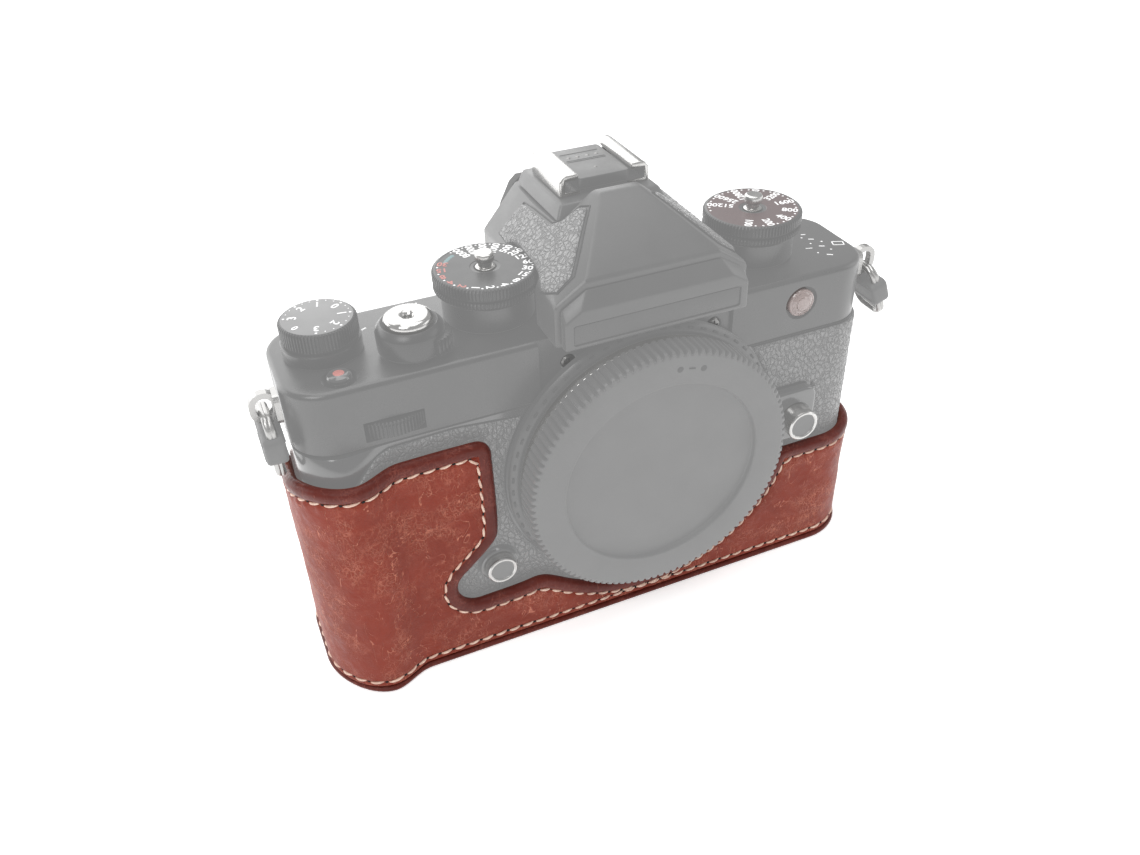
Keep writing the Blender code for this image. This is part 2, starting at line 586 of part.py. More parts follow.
def build_insides(parts, cutters, looks):
    """What the body holds so that it can take a picture."""
    centre = (LENS_X, 0, LENS_Z)
    turned("lens_bezel", [(THROAT + 1.8, 0), (BEZEL_RADIUS, 0), (BEZEL_RADIUS, 2.0), (BEZEL_RADIUS - 1.2,
                                                                                      2.8),
                          (MOUNT_RADIUS + 0.4, 2.8), (MOUNT_RADIUS + 0.4, 0.8), (THROAT + 1.8, 0.8)],
           (LENS_X, FRONT - GAP, LENS_Z), looks["black_metal"], parts, "front", steps=44, closed=True)
    tube("lens_mount", THROAT, MOUNT_RADIUS, 17.4, -MOUNT_FACE, centre, looks["bright_metal"], parts, "front",
         edge=0.3, steps=44)
    front_slab("shutter_unit", [rounded_box(LENS_X - 28, LENS_X + 28, LENS_Z - 21, LENS_Z + 19, 2, 2),
                                rounded_box(LENS_X - 18.2, LENS_X + 18.2, LENS_Z - 12.2, LENS_Z + 12.2, 0.5,
                                            1)],
               -10.5, -7.0, looks["dark_metal"], parts)
    front_slab("image_sensor", [rounded_box(LENS_X - 22, LENS_X + 22, LENS_Z - 16, LENS_Z + 16, 1, 2)],
               -5.5, -3.0, looks["sensor"], parts)
    front_slab("circuit_board", [rounded_box(-40, 62, 12, 62, 2, 2)], 1.0, 2.6, looks["board"], parts)
    front_slab("battery", [rounded_box(-64.5, -43.5, 8, 52, 2, 3)], -11.0, 8.5, looks["dark_plastic"], parts)
    front_slab("eyepiece_lens", [eyepiece_opening(-GAP)], 15.5, 22.0, looks["clear"], parts)
    front_slab("eyepiece_frame", [eyepiece_outline(0.0), eyepiece_opening(GAP)], HUMP_BACK + GAP,
               HUMP_BACK + 1.8,
               looks["black_metal"], parts)
    front_slab("eyecup", [eyepiece_outline(0.7), eyepiece_opening(1.6)], HUMP_BACK + 2.1, EYECUP_BACK,
               looks["rubber"], parts)


def eyepiece_opening(growth):
    """The finder's rounded window, in X and Z."""
    half, tall = EYEPIECE_HALF + growth, EYEPIECE_HALF_HEIGHT + growth
    return rounded_box(LENS_X - half, LENS_X + half, EYEPIECE_Z - tall, EYEPIECE_Z + tall, 1.6, 3)


def eyepiece_outline(growth):
    """The eyepiece's outer edge, which narrows upwards with the hump."""
    right = [(15.5, 80.8), (17.6, 82.5), (17.6, 84.6), (14.6, 91.0), (12.2, 95.6), (10.6, 97.0)]
    edge = [(x + growth, z + math.copysign(growth, z - EYEPIECE_Z)) for x, z in right]
    return [(LENS_X + x, z) for x, z in edge] + [(LENS_X - x, z) for x, z in reversed(edge)]


# ---------------------------------------------------------------- controls


def build_dials(parts, cutters, looks):
    """Top dials, with a lever ring under the two large ones and a locking pin at their centres."""
    for name, (x, y, radius), lever, lever_angle in (
            ("shutter_dial", SHUTTER_DIAL, "photo_video_lever", 84),
        ("iso_dial", ISO_DIAL, "mode_lever", 109)):
        turned(name,
               [(0, LEVER_HIGH + GAP), (radius, LEVER_HIGH + GAP), (radius, LEVER_HIGH + 1.6),
                (radius - 0.9, LEVER_HIGH + 1.9), (radius - 0.9, LEVER_HIGH + 2.3),
                (radius, LEVER_HIGH + 2.6),
                (radius, DIAL_TOP - 0.5), (radius - 0.5, DIAL_TOP), (LOCK_RADIUS + GAP, DIAL_TOP),
                (LOCK_RADIUS + GAP, DIAL_TOP - 3.9), (0, DIAL_TOP - 3.9)],
               (x, y, 0), looks["black_metal"], parts, steps=40)
        drum(f"{name}_lock", LOCK_RADIUS, DIAL_TOP - 2.0, LOCK_TOP, (x, y, 0), looks["bright_metal"], parts,
             edge=0.4, steps=24)
        ring = tube(lever, 4.0, radius - 1.4, LEVER_LOW, LEVER_HIGH, (x, y, 0), looks["black_metal"], parts,
                    edge=0.3, steps=36)
        reach = Vector((math.cos(math.radians(lever_angle)), math.sin(math.radians(lever_angle))))
        tip = hull(f"{lever}_tip",
                   [(x + reach.x * along - reach.y * across, y + reach.y * along + reach.x * across, z)
                    for along in (radius - 2.5, radius + 2.2) for across in (-1.4, 1.4)
                    for z in (LEVER_LOW + 1.2, LEVER_LOW + 3.4)], None, cutters)
        joined(ring, tip)
    x, y, radius = EV_DIAL
    turned("exposure_dial", [(0, COVER_TOP + GAP), (radius + 0.3, COVER_TOP + GAP), (radius + 0.3,
                                                                                     COVER_TOP + 3.4),
                             (radius, COVER_TOP + 3.8), (radius, EV_DIAL_TOP - 0.4),
                             (radius - 0.4, EV_DIAL_TOP),
                             (0, EV_DIAL_TOP)], (x, y, 0), looks["black_metal"], parts, steps=36)
    x, y, radius = SHUTTER_BUTTON
    turned("shutter_button",
           [(0, COVER_TOP - 4), (3.6, COVER_TOP - 4), (3.6, POWER_LEVER_TOP - 1.2),
            (radius, POWER_LEVER_TOP - 0.9),
            (radius, SHUTTER_BUTTON_TOP - 0.8), (radius - 1.0, SHUTTER_BUTTON_TOP),
            (1.3, SHUTTER_BUTTON_TOP - 0.5),
            (1.0, SHUTTER_BUTTON_TOP - 2.5), (0, SHUTTER_BUTTON_TOP - 2.5)],
           (x, y, 0), looks["bright_metal"], parts, steps=32)
    turned("power_lever",
           [(4.7, COVER_TOP + GAP), (POWER_LEVER_RADIUS - 0.5, COVER_TOP + GAP),
            (POWER_LEVER_RADIUS, COVER_TOP + 1.0),
            (POWER_LEVER_RADIUS, POWER_LEVER_TOP - 1.3), (POWER_LEVER_RADIUS - 1.2, POWER_LEVER_TOP),
            (5.5, POWER_LEVER_TOP - 0.2), (5.5, POWER_LEVER_TOP - 3.2), (4.7, POWER_LEVER_TOP - 3.2)],
           (x, y, 0), looks["black_metal"], parts, steps=36, closed=True)
    grip = power_grip(cutters)
    joined(bpy.data.objects["power_lever"], grip)

    x, y, radius = MOVIE_BUTTON
    turned("movie_button", [(0, COVER_TOP - 3.5), (1.2, COVER_TOP - 3.5), (1.2, COVER_TOP - 0.2), (radius,
                                                                                                   COVER_TOP - 0.2),
                            (radius, COVER_TOP + 0.9), (radius - 0.6, COVER_TOP + 1.3), (0, COVER_TOP + 1.4)],
           (x, y, 0), looks["black_metal"], parts, steps=24)
    for name, (x, y, radius) in (("front_command_wheel", FRONT_WHEEL), ("rear_command_wheel", REAR_WHEEL)):
        drum(name, radius, WHEEL_LOW, WHEEL_HIGH, (x, y, 0), looks["black_metal"], parts, edge=0.4, steps=40)


def power_grip(cutters):
    """The lever's finger grip, a short knurled tab at its front right."""
    x, y, _ = SHUTTER_BUTTON
    corners = []
    for degrees, out in ((-58, 5.9), (-58, 8.3), (-32, 8.8), (-6, 8.3), (-6, 5.9)):
        angle = math.radians(degrees)
        corners.append((x + out * math.cos(angle), y + out * math.sin(angle)))
    return slab("power_grip", [corners], COVER_TOP + 1.3, POWER_LEVER_TOP - 2.4, None, cutters)


def build_buttons(parts, cutters, looks):
    for name, (x, z, radius, face) in (("lens_release_button", RELEASE_BUTTON),
                                       ("function_button", FUNCTION_BUTTON)):
        turned(name, [(0, 9.0), (radius, 9.0), (radius, -face - 0.5), (radius - 0.5, -face), (radius - 0.9,
                                                                                              -face),
                      (radius - 0.9, -face - 0.5), (0, -face - 0.5)], (x, 0, z), looks["bright_metal"], parts,
               "front", steps=28)
    x, z, radius = PLAYBACK_BUTTON
    drum("playback_button", radius, 9.0, BACK + 0.9, (x, 0, z), looks["dark_plastic"], parts, "back",
         edge=FACE_RIM, steps=20)
    x, z, radius = LOCK_BUTTON
    drum("exposure_lock_button", radius, 12.4, BACK + 1.2, (x, 0, z), looks["dark_plastic"], parts, "back",
         edge=0.3, steps=24)
    x, z, radius = DIRECTION_PAD
    tube("direction_pad", CONFIRM_RADIUS + 0.4, radius, 12.4, BACK + 1.4, (x, 0, z), looks["dark_plastic"],
         parts,
         "back", edge=0.5, steps=36)
    drum("confirm_button", CONFIRM_RADIUS, 12.4, BACK + 1.8, (x, 0, z), looks["dark_plastic"], parts, "back",
         edge=0.3, steps=24)


def build_cap(parts, cutters, looks):
    """The body cap: a knurled rim, a recessed face and a spigot that reaches into the mount."""
    turned("body_cap",
           [(0, -CAP_BACK + 2.0), (CAP_SPIGOT_RADIUS - 1.6, -CAP_BACK + 2.0),
            (CAP_SPIGOT_RADIUS - 1.6, -CAP_SPIGOT_BACK),
            (CAP_SPIGOT_RADIUS, -CAP_SPIGOT_BACK), (CAP_SPIGOT_RADIUS, -CAP_BACK + 0.6),
            (CAP_RADIUS - 1.5, -CAP_BACK + 0.6),
            (CAP_RADIUS - 1.5, -CAP_BACK), (CAP_RADIUS, -CAP_BACK), (CAP_RADIUS, -CAP_FACE - 1.2),
            (CAP_RADIUS - 0.9, -CAP_FACE), (CAP_RECESS_RADIUS, -CAP_FACE),
            (CAP_RECESS_RADIUS - 0.3, -CAP_FACE - CAP_RECESS),
            (0, -CAP_FACE - CAP_RECESS)],
           (LENS_X, 0, LENS_Z), looks["dark_plastic"], parts, "front", steps=48)


def build_screen(parts, cutters, looks):
    """The screen on its side hinge."""
    middle = (SCREEN_LOW + SCREEN_HIGH) / 2
    frame = front_slab("screen_frame",
                       [rounded_box(SCREEN_LEFT, SCREEN_RIGHT, SCREEN_LOW, SCREEN_HIGH, 2.5, 4)],
                       SCREEN_FRONT, SCREEN_BACK, looks["dark_plastic"], parts)
    recess = front_slab("glass_seat",
                        [rounded_box(SCREEN_LEFT + 3.2, SCREEN_RIGHT - 3.2, SCREEN_LOW + 3.2,
                                     SCREEN_HIGH - 3.2, 1.2, 3)],
                        SCREEN_BACK - 1.2, SCREEN_BACK + 5, None, cutters)
    cut(frame, recess)
    front_slab("screen_glass",
               [rounded_box(SCREEN_LEFT + 3.5, SCREEN_RIGHT - 3.5, SCREEN_LOW + 3.5, SCREEN_HIGH - 3.5, 1.0,
                            3)],
               SCREEN_BACK - 0.9, SCREEN_BACK - 0.1, looks["screen"], parts)
    drum("screen_hinge", 2.4, middle - 15, middle + 15, (SCREEN_HINGE_X, SCREEN_HINGE_Y, 0),
         looks["dark_metal"], parts, steps=20)
    bracket = slab("hinge_bracket", [[(SCREEN_HINGE_X - 1.6, BACK + GAP), (SCREEN_HINGE_X + 1.6, BACK + GAP),
                                      (SCREEN_HINGE_X + 1.6, BACK + 0.8),
                                      (SCREEN_HINGE_X - 1.6, BACK + 0.8)]],
                   middle - 21, middle + 21, looks["dark_metal"], parts)
    for name, low, high in (("lower_knuckle", middle - 21, middle - 15.3),
                            ("upper_knuckle", middle + 15.3, middle + 21)):
        knuckle = slab(name, [[(SCREEN_HINGE_X - 1.6, BACK + 0.5), (SCREEN_HINGE_X + 1.6, BACK + 0.5),
                               *arc(SCREEN_HINGE_X, SCREEN_HINGE_Y, 2.4, 0, 180, 8)]], low + 0.01,
                       high - 0.01,
                       None, cutters)
        joined(bracket, knuckle)


def build_lugs(parts, cutters, looks):
    """Strap eyelets on the ends of the body, each with a hanging ring and its guard."""
    for name, side, lean in (("left", -1, 0.0), ("right", 1, RIGHT_RING_LEAN)):
        wall, tip = side * (HALF_WIDTH + GAP), side * (HALF_WIDTH + LUG_REACH)
        inner, outer = sorted((wall, wall + side * 1.2))
        lug = side_slab(f"strap_lug_{name}",
                        [rounded_box(LUG_Y - 2.6, LUG_Y + 2.6, LUG_LOW, LUG_HIGH - 0.6, 1.2, 3)],
                        inner, outer, looks["bright_metal"], parts)
        inner, outer = sorted((wall, tip))
        eye = front_slab(f"{name}_eye", [rounded_box(inner, outer, LUG_LOW, LUG_HIGH, 2.9, 5)],
                         LUG_Y - 0.9, LUG_Y + 0.9, None, cutters)
        inner, outer = sorted((wall + side * 1.5, tip - side * LUG_BAR))
        hole = front_slab(f"{name}_eye_hole", [rounded_box(inner, outer, LUG_LOW + LUG_BAR + 0.2,
                                                           LUG_HIGH - LUG_BAR,
                                                           1.5, 4)], LUG_Y - 5, LUG_Y + 5, None, cutters)
        joined(lug, eye)
        cut(lug, hole)
        pivot = Vector(((inner + outer) / 2, LUG_Y, LUG_LOW + LUG_BAR + RING_WIRE + 0.4)) * MM
        loop = rounded_box(-RING_HALF, RING_HALF, -RING_DROP, 0, 2.6, 4)
        ring = wire(f"strap_ring_{name}", [(0, y, z) for y, z in loop], RING_WIRE, looks["bright_metal"],
                    parts,
                    cyclic=True)
        guard = side_slab(f"ring_guard_{name}", [rounded_box(-6.4, 6.4, GUARD_LOW, GUARD_HIGH, 1.0, 2)], -2.2,
                          2.2,
                          looks["rubber"], parts)
        wells = [drum(f"{name}_guard_well_{number}", RING_WIRE + 0.3, -20, 0, (0, edge, 0), None, cutters,
                      steps=12)
                 for number, edge in enumerate((-RING_HALF, RING_HALF))]
        for item in (ring, guard, *wells):
            item.data.transform(Matrix.Rotation(lean, 4, "Y") @ item.matrix_basis)
            item.matrix_basis = Matrix.Translation(pivot)
        cut(guard, *wells)


def main():
    clear_scene()
    parts = make_collection("half_case_camera")
    cutters = make_collection("cutters")
    looks = {
        "leather": make_material("leather", (0.235, 0.062, 0.033), 0.5),
        "black_metal": make_material("black_metal", (0.20, 0.20, 0.205), 0.45),
        "leatherette": make_material("leatherette", (0.22, 0.22, 0.22), 0.7),
        "dark_plastic": make_material("dark_plastic", (0.30, 0.30, 0.29), 0.55),
        "bright_metal": make_material("bright_metal", (0.78, 0.77, 0.75), 0.25, 1.0),
        "dark_metal": make_material("dark_metal", (0.25, 0.25, 0.26), 0.4, 0.8),
        "rubber": make_material("rubber", (0.12, 0.12, 0.12), 0.8),
        "clear": make_material("clear", (0.75, 0.72, 0.72), 0.1),
        "screen": make_material("screen", (0.05, 0.05, 0.06), 0.15),
        "sensor": make_material("sensor", (0.16, 0.20, 0.22), 0.2),
        "board": make_material("board", (0.07, 0.20, 0.10), 0.6),
    }
    for build in (build_case, build_body, build_cover, build_hump, build_insides, build_dials, build_buttons,
                  build_cap, build_screen, build_lugs):
        build(parts, cutters, looks)


main()
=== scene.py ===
"""Leather half case with a retro-styled interchangeable-lens camera standing in it.

Lengths in this file are millimetres unless a name says otherwise; MM turns them into metres.
X runs to the right of someone who faces the camera's front, and Y from front to back.
Z runs up from the case's underside.
"""

import math

import bmesh
import bpy
from mathutils import Matrix, Vector, kdtree, noise
from mathutils.geometry import delaunay_2d_cdt


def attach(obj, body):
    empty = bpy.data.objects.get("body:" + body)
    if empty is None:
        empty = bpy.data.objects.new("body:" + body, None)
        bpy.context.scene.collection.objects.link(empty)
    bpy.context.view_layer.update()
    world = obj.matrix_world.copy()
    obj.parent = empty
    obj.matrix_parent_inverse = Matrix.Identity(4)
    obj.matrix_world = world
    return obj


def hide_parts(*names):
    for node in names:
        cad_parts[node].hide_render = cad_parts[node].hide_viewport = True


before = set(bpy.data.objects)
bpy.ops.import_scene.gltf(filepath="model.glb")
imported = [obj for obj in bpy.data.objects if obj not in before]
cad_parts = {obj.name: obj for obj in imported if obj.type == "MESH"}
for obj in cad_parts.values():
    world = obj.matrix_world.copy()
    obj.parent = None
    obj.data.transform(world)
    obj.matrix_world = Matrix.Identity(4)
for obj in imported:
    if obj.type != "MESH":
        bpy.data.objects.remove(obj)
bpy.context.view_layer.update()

MM = 0.001
ROOT = "case_and_camera"

# Camera body, as in the CAD part
HALF_WIDTH, FRONT, BACK, CORNER = 68.6, -16.0, 14.0, 9.0
BODY_BOTTOM, COVER_BOTTOM, COVER_TOP = 3.0, 65.0, 79.7
LENS_X, LENS_Z = 8.0, 44.4
GRIP_X, GRIP_DEPTH, GRIP_INNER_REACH, GRIP_OUTER_REACH = -59.5, 3.3, 10.0, 17.0
BODY_WALL = 2.0
SEAM = 0.3

# Half case
CASE_CLEARANCE, CASE_END_CLEARANCE, LEATHER = 2.0, 0.5, 2.4
CASE_BASE, CASE_SOLE, CASE_WELT = 2.2, 1.2, 0.45
CASE_FRONT_TOP, CASE_LEFT_TOP, CASE_RIGHT_TOP, CASE_BACK_TOP = 61.5, 54.0, 34.0, 10.0
CASE_SCREW = (8.0, -1.0)
STITCH_INSET, STITCH_PITCH, STITCH_LENGTH, THREAD = 3.4, 3.5, 2.9, 0.31
BASE_STITCH_RISE = 1.75

# Top controls: centre x, centre y, radius
EV_DIAL = (-57.4, 0.9, 8.0)
SHUTTER_DIAL = (-21.2, 0.6, 11.4)
ISO_DIAL = (44.2, 0.4, 11.4)
DIAL_TOP, EV_DIAL_TOP, LEVER_HIGH = 91.0, 87.7, 86.2
LOCK_RADIUS, LOCK_TOP = 2.1, 94.2
SHUTTER_BUTTON = (-40.7, -7.2, 5.1)
POWER_LEVER_RADIUS, POWER_LEVER_TOP, SHUTTER_BUTTON_TOP = 7.1, 86.8, 88.4
MOVIE_BUTTON = (-56.8, -11.0, 2.5)
FRONT_WHEEL = (-48.2, -8.3, 9.5)
REAR_WHEEL = (-58.0, 8.0, 7.6)
WHEEL_LOW, WHEEL_HIGH = 66.7, 70.5

# Lens mount and cap
THROAT, BEZEL_RADIUS = 26.0, 34.0
MOUNT_RADIUS, MOUNT_FACE = 31.0, -20.6
CAP_RADIUS, CAP_FACE, CAP_BACK = 32.3, -27.7, -21.0
CAP_RECESS_RADIUS, CAP_RECESS = 24.0, 1.4
CAP_SPIGOT_RADIUS, CAP_SPIGOT_BACK = 24.6, -14.5

# Buttons beside the mount: centre x, centre z, radius, face y
RELEASE_BUTTON = (48.9, 42.2, 4.1, -23.0)
FUNCTION_BUTTON = (-29.6, 23.6, 3.7, -20.4)
LAMP = (48.9, 72.9, 3.4)
FRONT_SCREWS, FRONT_SCREW_Z = (-9.3, 26.2), 72.6
PLAYBACK_BUTTON = (56.0, 72.5)


# ---------------------------------------------------------------- meshes


def mesh_object(name, verts, faces, looks, smooth_angle=35, face_looks=None):
    """A smooth-shaded object from points in millimetres."""
    mesh = bpy.data.meshes.new(name)
    mesh.from_pydata([Vector(v) * MM for v in verts], [], faces)
    made = bpy.data.objects.new(name, mesh)
    bpy.context.scene.collection.objects.link(made)
    for look in looks if isinstance(looks, (list, tuple)) else [looks]:
        mesh.materials.append(look)
    if face_looks:
        mesh.polygons.foreach_set("material_index", face_looks)
    shade(made, smooth_angle)
    return made


def shade(item, smooth_angle=35):
    item.data.shade_smooth()
    item.data.set_sharp_from_angle(angle=math.radians(smooth_angle))
    return item


def clean(item, weld=0.0005):
    """Welds points closer than weld, in millimetres, and turns the faces outwards."""
    shape = bmesh.new()
    shape.from_mesh(item.data)
    bmesh.ops.remove_doubles(shape, verts=shape.verts, dist=weld * MM)
    bmesh.ops.recalc_face_normals(shape, faces=shape.faces)
    shape.to_mesh(item.data)
    shape.free()
    return item


def loft(name, rows, looks, smooth_angle=35):
    """A closed solid through rows of points that all have the same count, with flat ends."""
    count = len(rows[0])
    verts = [point for row in rows for point in row]
    faces = []
    for r in range(len(rows) - 1):
        for i in range(count):
            j = (i + 1) % count
            faces.append((r * count + i, r * count + j, (r + 1) * count + j, (r + 1) * count + i))
    faces.append(tuple(reversed(range(count))))
    faces.append(tuple(range((len(rows) - 1) * count, len(rows) * count)))
    return shade(clean(mesh_object(name, verts, faces, looks)), smooth_angle)


def plate(name, loop, low, high, looks, edge=0.0, steps=3, axis="up"):
    """An outline extruded from low to high, its rims rounded by edge. axis says which way it is extruded."""
    rows = []
    if edge:
        for i in range(steps + 1):
            turn = math.radians(90 * i / steps)
            rows.append((shrunk(loop, edge * (1 - math.sin(turn))), low + edge * (1 - math.cos(turn))))
        for i in range(steps + 1):
            turn = math.radians(90 * i / steps)
            rows.append((shrunk(loop, edge * (1 - math.cos(turn))), high - edge * (1 - math.sin(turn))))
    else:
        rows = [(loop, low), (loop, high)]
    place = {"up": lambda a, b, h: (a, b, h), "front": lambda a, b, h: (a, -h, b), "side": lambda a, b,
             h: (h, a, b)}
    rows = [[place[axis](a, b, h) for a, b in outline] for outline, h in rows]
    return loft(name, rows, looks)


def shrunk(loop, inset):
    """An anticlockwise outline moved inwards, corner by corner."""
    if abs(inset) < 1e-9:
        return list(loop)
    count = len(loop)
    made = []
    for i in range(count):
        before, here, after = (Vector(loop[(i + k) % count]) for k in (-1, 0, 1))
        first, second = (here - before), (after - here)
        if first.length < 1e-6 or second.length < 1e-6:
            first = second = (after - before)
        first.normalize()
        second.normalize()
        normal = Vector((-first.y - second.y, first.x + second.x))
        if normal.length < 1e-6:
            normal = Vector((-first.y, first.x))
        normal.normalize()
        lean = max(0.35, normal.dot(Vector((-first.y, first.x))))
        made.append(tuple(here + normal * inset / lean))
    return made


FACING = {
    "up": Matrix.Identity(3),
    "front": Matrix(((1, 0, 0), (0, 0, -1), (0, 1, 0))),
    "back": Matrix(((-1, 0, 0), (0, 0, 1), (0, 1, 0))),
    "left": Matrix(((0, 0, -1), (1, 0, 0), (0, -1, 0))),
    "right": Matrix(((0, 0, 1), (1, 0, 0), (0, 1, 0))),
}


def lathe(name, profile, centre, looks, facing="up", steps=64, teeth=0, sharp=28, closed=False,
          wave=(0, 0, 1, 1),
          face_look=None):
    """A profile of (radius, height, knurl depth) rows turned about an axis through centre."""
    if teeth:
        steps = teeth * len(wave)
    turn = FACING[facing]
    origin = Vector(centre)
    verts, rings = [], []
    for row in profile:
        radius, height, depth = (*row, 0.0)[:3]
        if radius < 1e-6:
            rings.append([len(verts)] * steps)
            verts.append(origin + turn @ Vector((0, 0, height)))
            continue
        ring = []
        for i in range(steps):
            angle = 2 * math.pi * i / steps
            r = radius - depth * wave[i % len(wave)]
            ring.append(len(verts))
            verts.append(origin + turn @ Vector((r * math.cos(angle), r * math.sin(angle), height)))
        rings.append(ring)
    if closed:
        rings.append(rings[0])
    faces, looks_used = [], []
    for number, (low, high) in enumerate(zip(rings, rings[1:])):
        for i in range(steps):
            j = (i + 1) % steps
            corners = []
            for v in (low[i], low[j], high[j], high[i]):
                if v not in corners:
                    corners.append(v)
            if len(corners) > 2:
                faces.append(tuple(corners))
                looks_used.append(face_look(number) if face_look else 0)
    return mesh_object(name, verts, faces, looks, sharp, looks_used)


def tube_path(points, radius, sides=10, cyclic=False):
    """Verts and faces of a round tube through points; radius may be one number or one for each point."""
    count = len(points)
    points = [Vector(p) for p in points]
    radii = radius if isinstance(radius, (list, tuple)) else [radius] * count
    verts, faces = [], []
    across = None
    for i, point in enumerate(points):
        before = points[i - 1] if i or cyclic else point
        after = points[(i + 1) % count] if i < count - 1 or cyclic else point
        along = (after - before).normalized()
        if across is None:
            across = along.orthogonal().normalized()
        across = (across - along * across.dot(along)).normalized()
        other = along.cross(across)
        for k in range(sides):
            angle = 2 * math.pi * k / sides
            verts.append(point + (across * math.cos(angle) + other * math.sin(angle)) * radii[i])
    spans = count if cyclic else count - 1
    for i in range(spans):
        j = (i + 1) % count
        for k in range(sides):
            m = (k + 1) % sides
            faces.append((i * sides + k, i * sides + m, j * sides + m, j * sides + k))
    if not cyclic:
        faces.append(tuple(reversed(range(sides))))
        faces.append(tuple(range((count - 1) * sides, count * sides)))
    return verts, faces


def gather(name, shapes, looks, smooth_angle=40):
    """One object from several (verts, faces, material index) shapes."""
    verts, faces, indices = [], [], []
    for shape_verts, shape_faces, index in shapes:
        start = len(verts)
        verts += shape_verts
        faces += [tuple(start + v for v in face) for face in shape_faces]
        indices += [index] * len(shape_faces)
    return mesh_object(name, verts, faces, looks, smooth_angle, indices)


def taken(item):
    """An object's mesh as one shape for gather; the object is removed."""
    verts = [v.co / MM for v in item.data.vertices]
    faces = [tuple(p.vertices) for p in item.data.polygons]
    bpy.data.objects.remove(item, do_unlink=True)
    return verts, faces, 0


def apply_modifiers(item, smooth_angle=35):
    graph = bpy.context.evaluated_depsgraph_get()
    graph.update()
    mesh = bpy.data.meshes.new_from_object(item.evaluated_get(graph))
    item.modifiers.clear()
    item.data = mesh
    return shade(item, smooth_angle)


def carve(item, *cutters, smooth_angle=35):
    """Takes the cutters out of an object and removes them."""
    for cutter in cutters:
        step = item.modifiers.new("cut", "BOOLEAN")
        step.operation = "DIFFERENCE"
        step.solver = "EXACT"
        step.object = cutter
    apply_modifiers(item, smooth_angle)
    for cutter in cutters:
        bpy.data.objects.remove(cutter, do_unlink=True)
    return item


def bevel(item, width, segments=2, angle=30, smooth_angle=35):
    """Rounds the edges that are sharper than angle."""
    step = item.modifiers.new("soft_edges", "BEVEL")
    step.width = width * MM
    step.segments = segments
    step.limit_method = "ANGLE"
    step.angle_limit = math.radians(angle)
    step.harden_normals = False
    return apply_modifiers(item, smooth_angle)


CAD_EDGE_ANGLE = 32


def soften_cad(name, width=0.25, segments=2):
    """Rounds the sharp edges of a CAD node with modifiers and leaves its vertices alone."""
    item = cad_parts[name]
    weld = item.modifiers.new("weld", "WELD")
    weld.merge_threshold = 0.000002
    step = item.modifiers.new("soft_edges", "BEVEL")
    step.width = width * MM
    step.segments = segments
    step.limit_method = "ANGLE"
    step.angle_limit = math.radians(CAD_EDGE_ANGLE)
    return item


def paint(item, look):
    """Gives a CAD node one material."""
    item.data.materials.clear()
    item.data.materials.append(look)
    return item


FLAT_FACES_ANGLE = 20


def convex(name, points, looks):
    shape = bmesh.new()
    for place in points:
        shape.verts.new(Vector(place) * MM)
    made = bmesh.ops.convex_hull(shape, input=shape.verts)
    inside = [v for v in made["geom_interior"] if isinstance(v, bmesh.types.BMVert)]
    bmesh.ops.delete(shape, geom=inside, context="VERTS")
    bmesh.ops.dissolve_limit(shape, angle_limit=math.radians(0.3), verts=shape.verts, edges=shape.edges)
    bmesh.ops.recalc_face_normals(shape, faces=shape.faces)
    mesh = bpy.data.meshes.new(name)
    shape.to_mesh(mesh)
    shape.free()
    made = bpy.data.objects.new(name, mesh)
    bpy.context.scene.collection.objects.link(made)
    mesh.materials.append(looks)
    return shade(made, FLAT_FACES_ANGLE)


def settle(item, body, slot, *nodes):
    """The piece moves with a body and stands for CAD nodes, which it hides; slot is not used."""
    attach(item, body)
    if nodes:
        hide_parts(*nodes)
    return item


# ---------------------------------------------------------------- outlines


def arc(centre_x, centre_y, radius, start, end, steps):
    """Points on a circle between two angles in degrees."""
    made = []
    for i in range(steps + 1):
        angle = math.radians(start + (end - start) * i / steps)
        made.append((centre_x + radius * math.cos(angle), centre_y + radius * math.sin(angle)))
    return made


def rounded_box(left, right, low, high, radius, steps=6):
    """A rectangle with round corners, anticlockwise."""
    loop = arc(right - radius, high - radius, radius, 0, 90, steps)
    loop += arc(left + radius, high - radius, radius, 90, 180, steps)
    loop += arc(left + radius, low + radius, radius, 180, 270, steps)
    loop += arc(right - radius, low + radius, radius, 270, 360, steps)
    return loop


def grip_swell(x):
    """How far the grip stands forward of the flat front at x."""
    reach = GRIP_INNER_REACH if x > GRIP_X else GRIP_OUTER_REACH
    return GRIP_DEPTH * math.cos(min(1.0, abs(x - GRIP_X) / reach) * math.pi / 2) ** 2


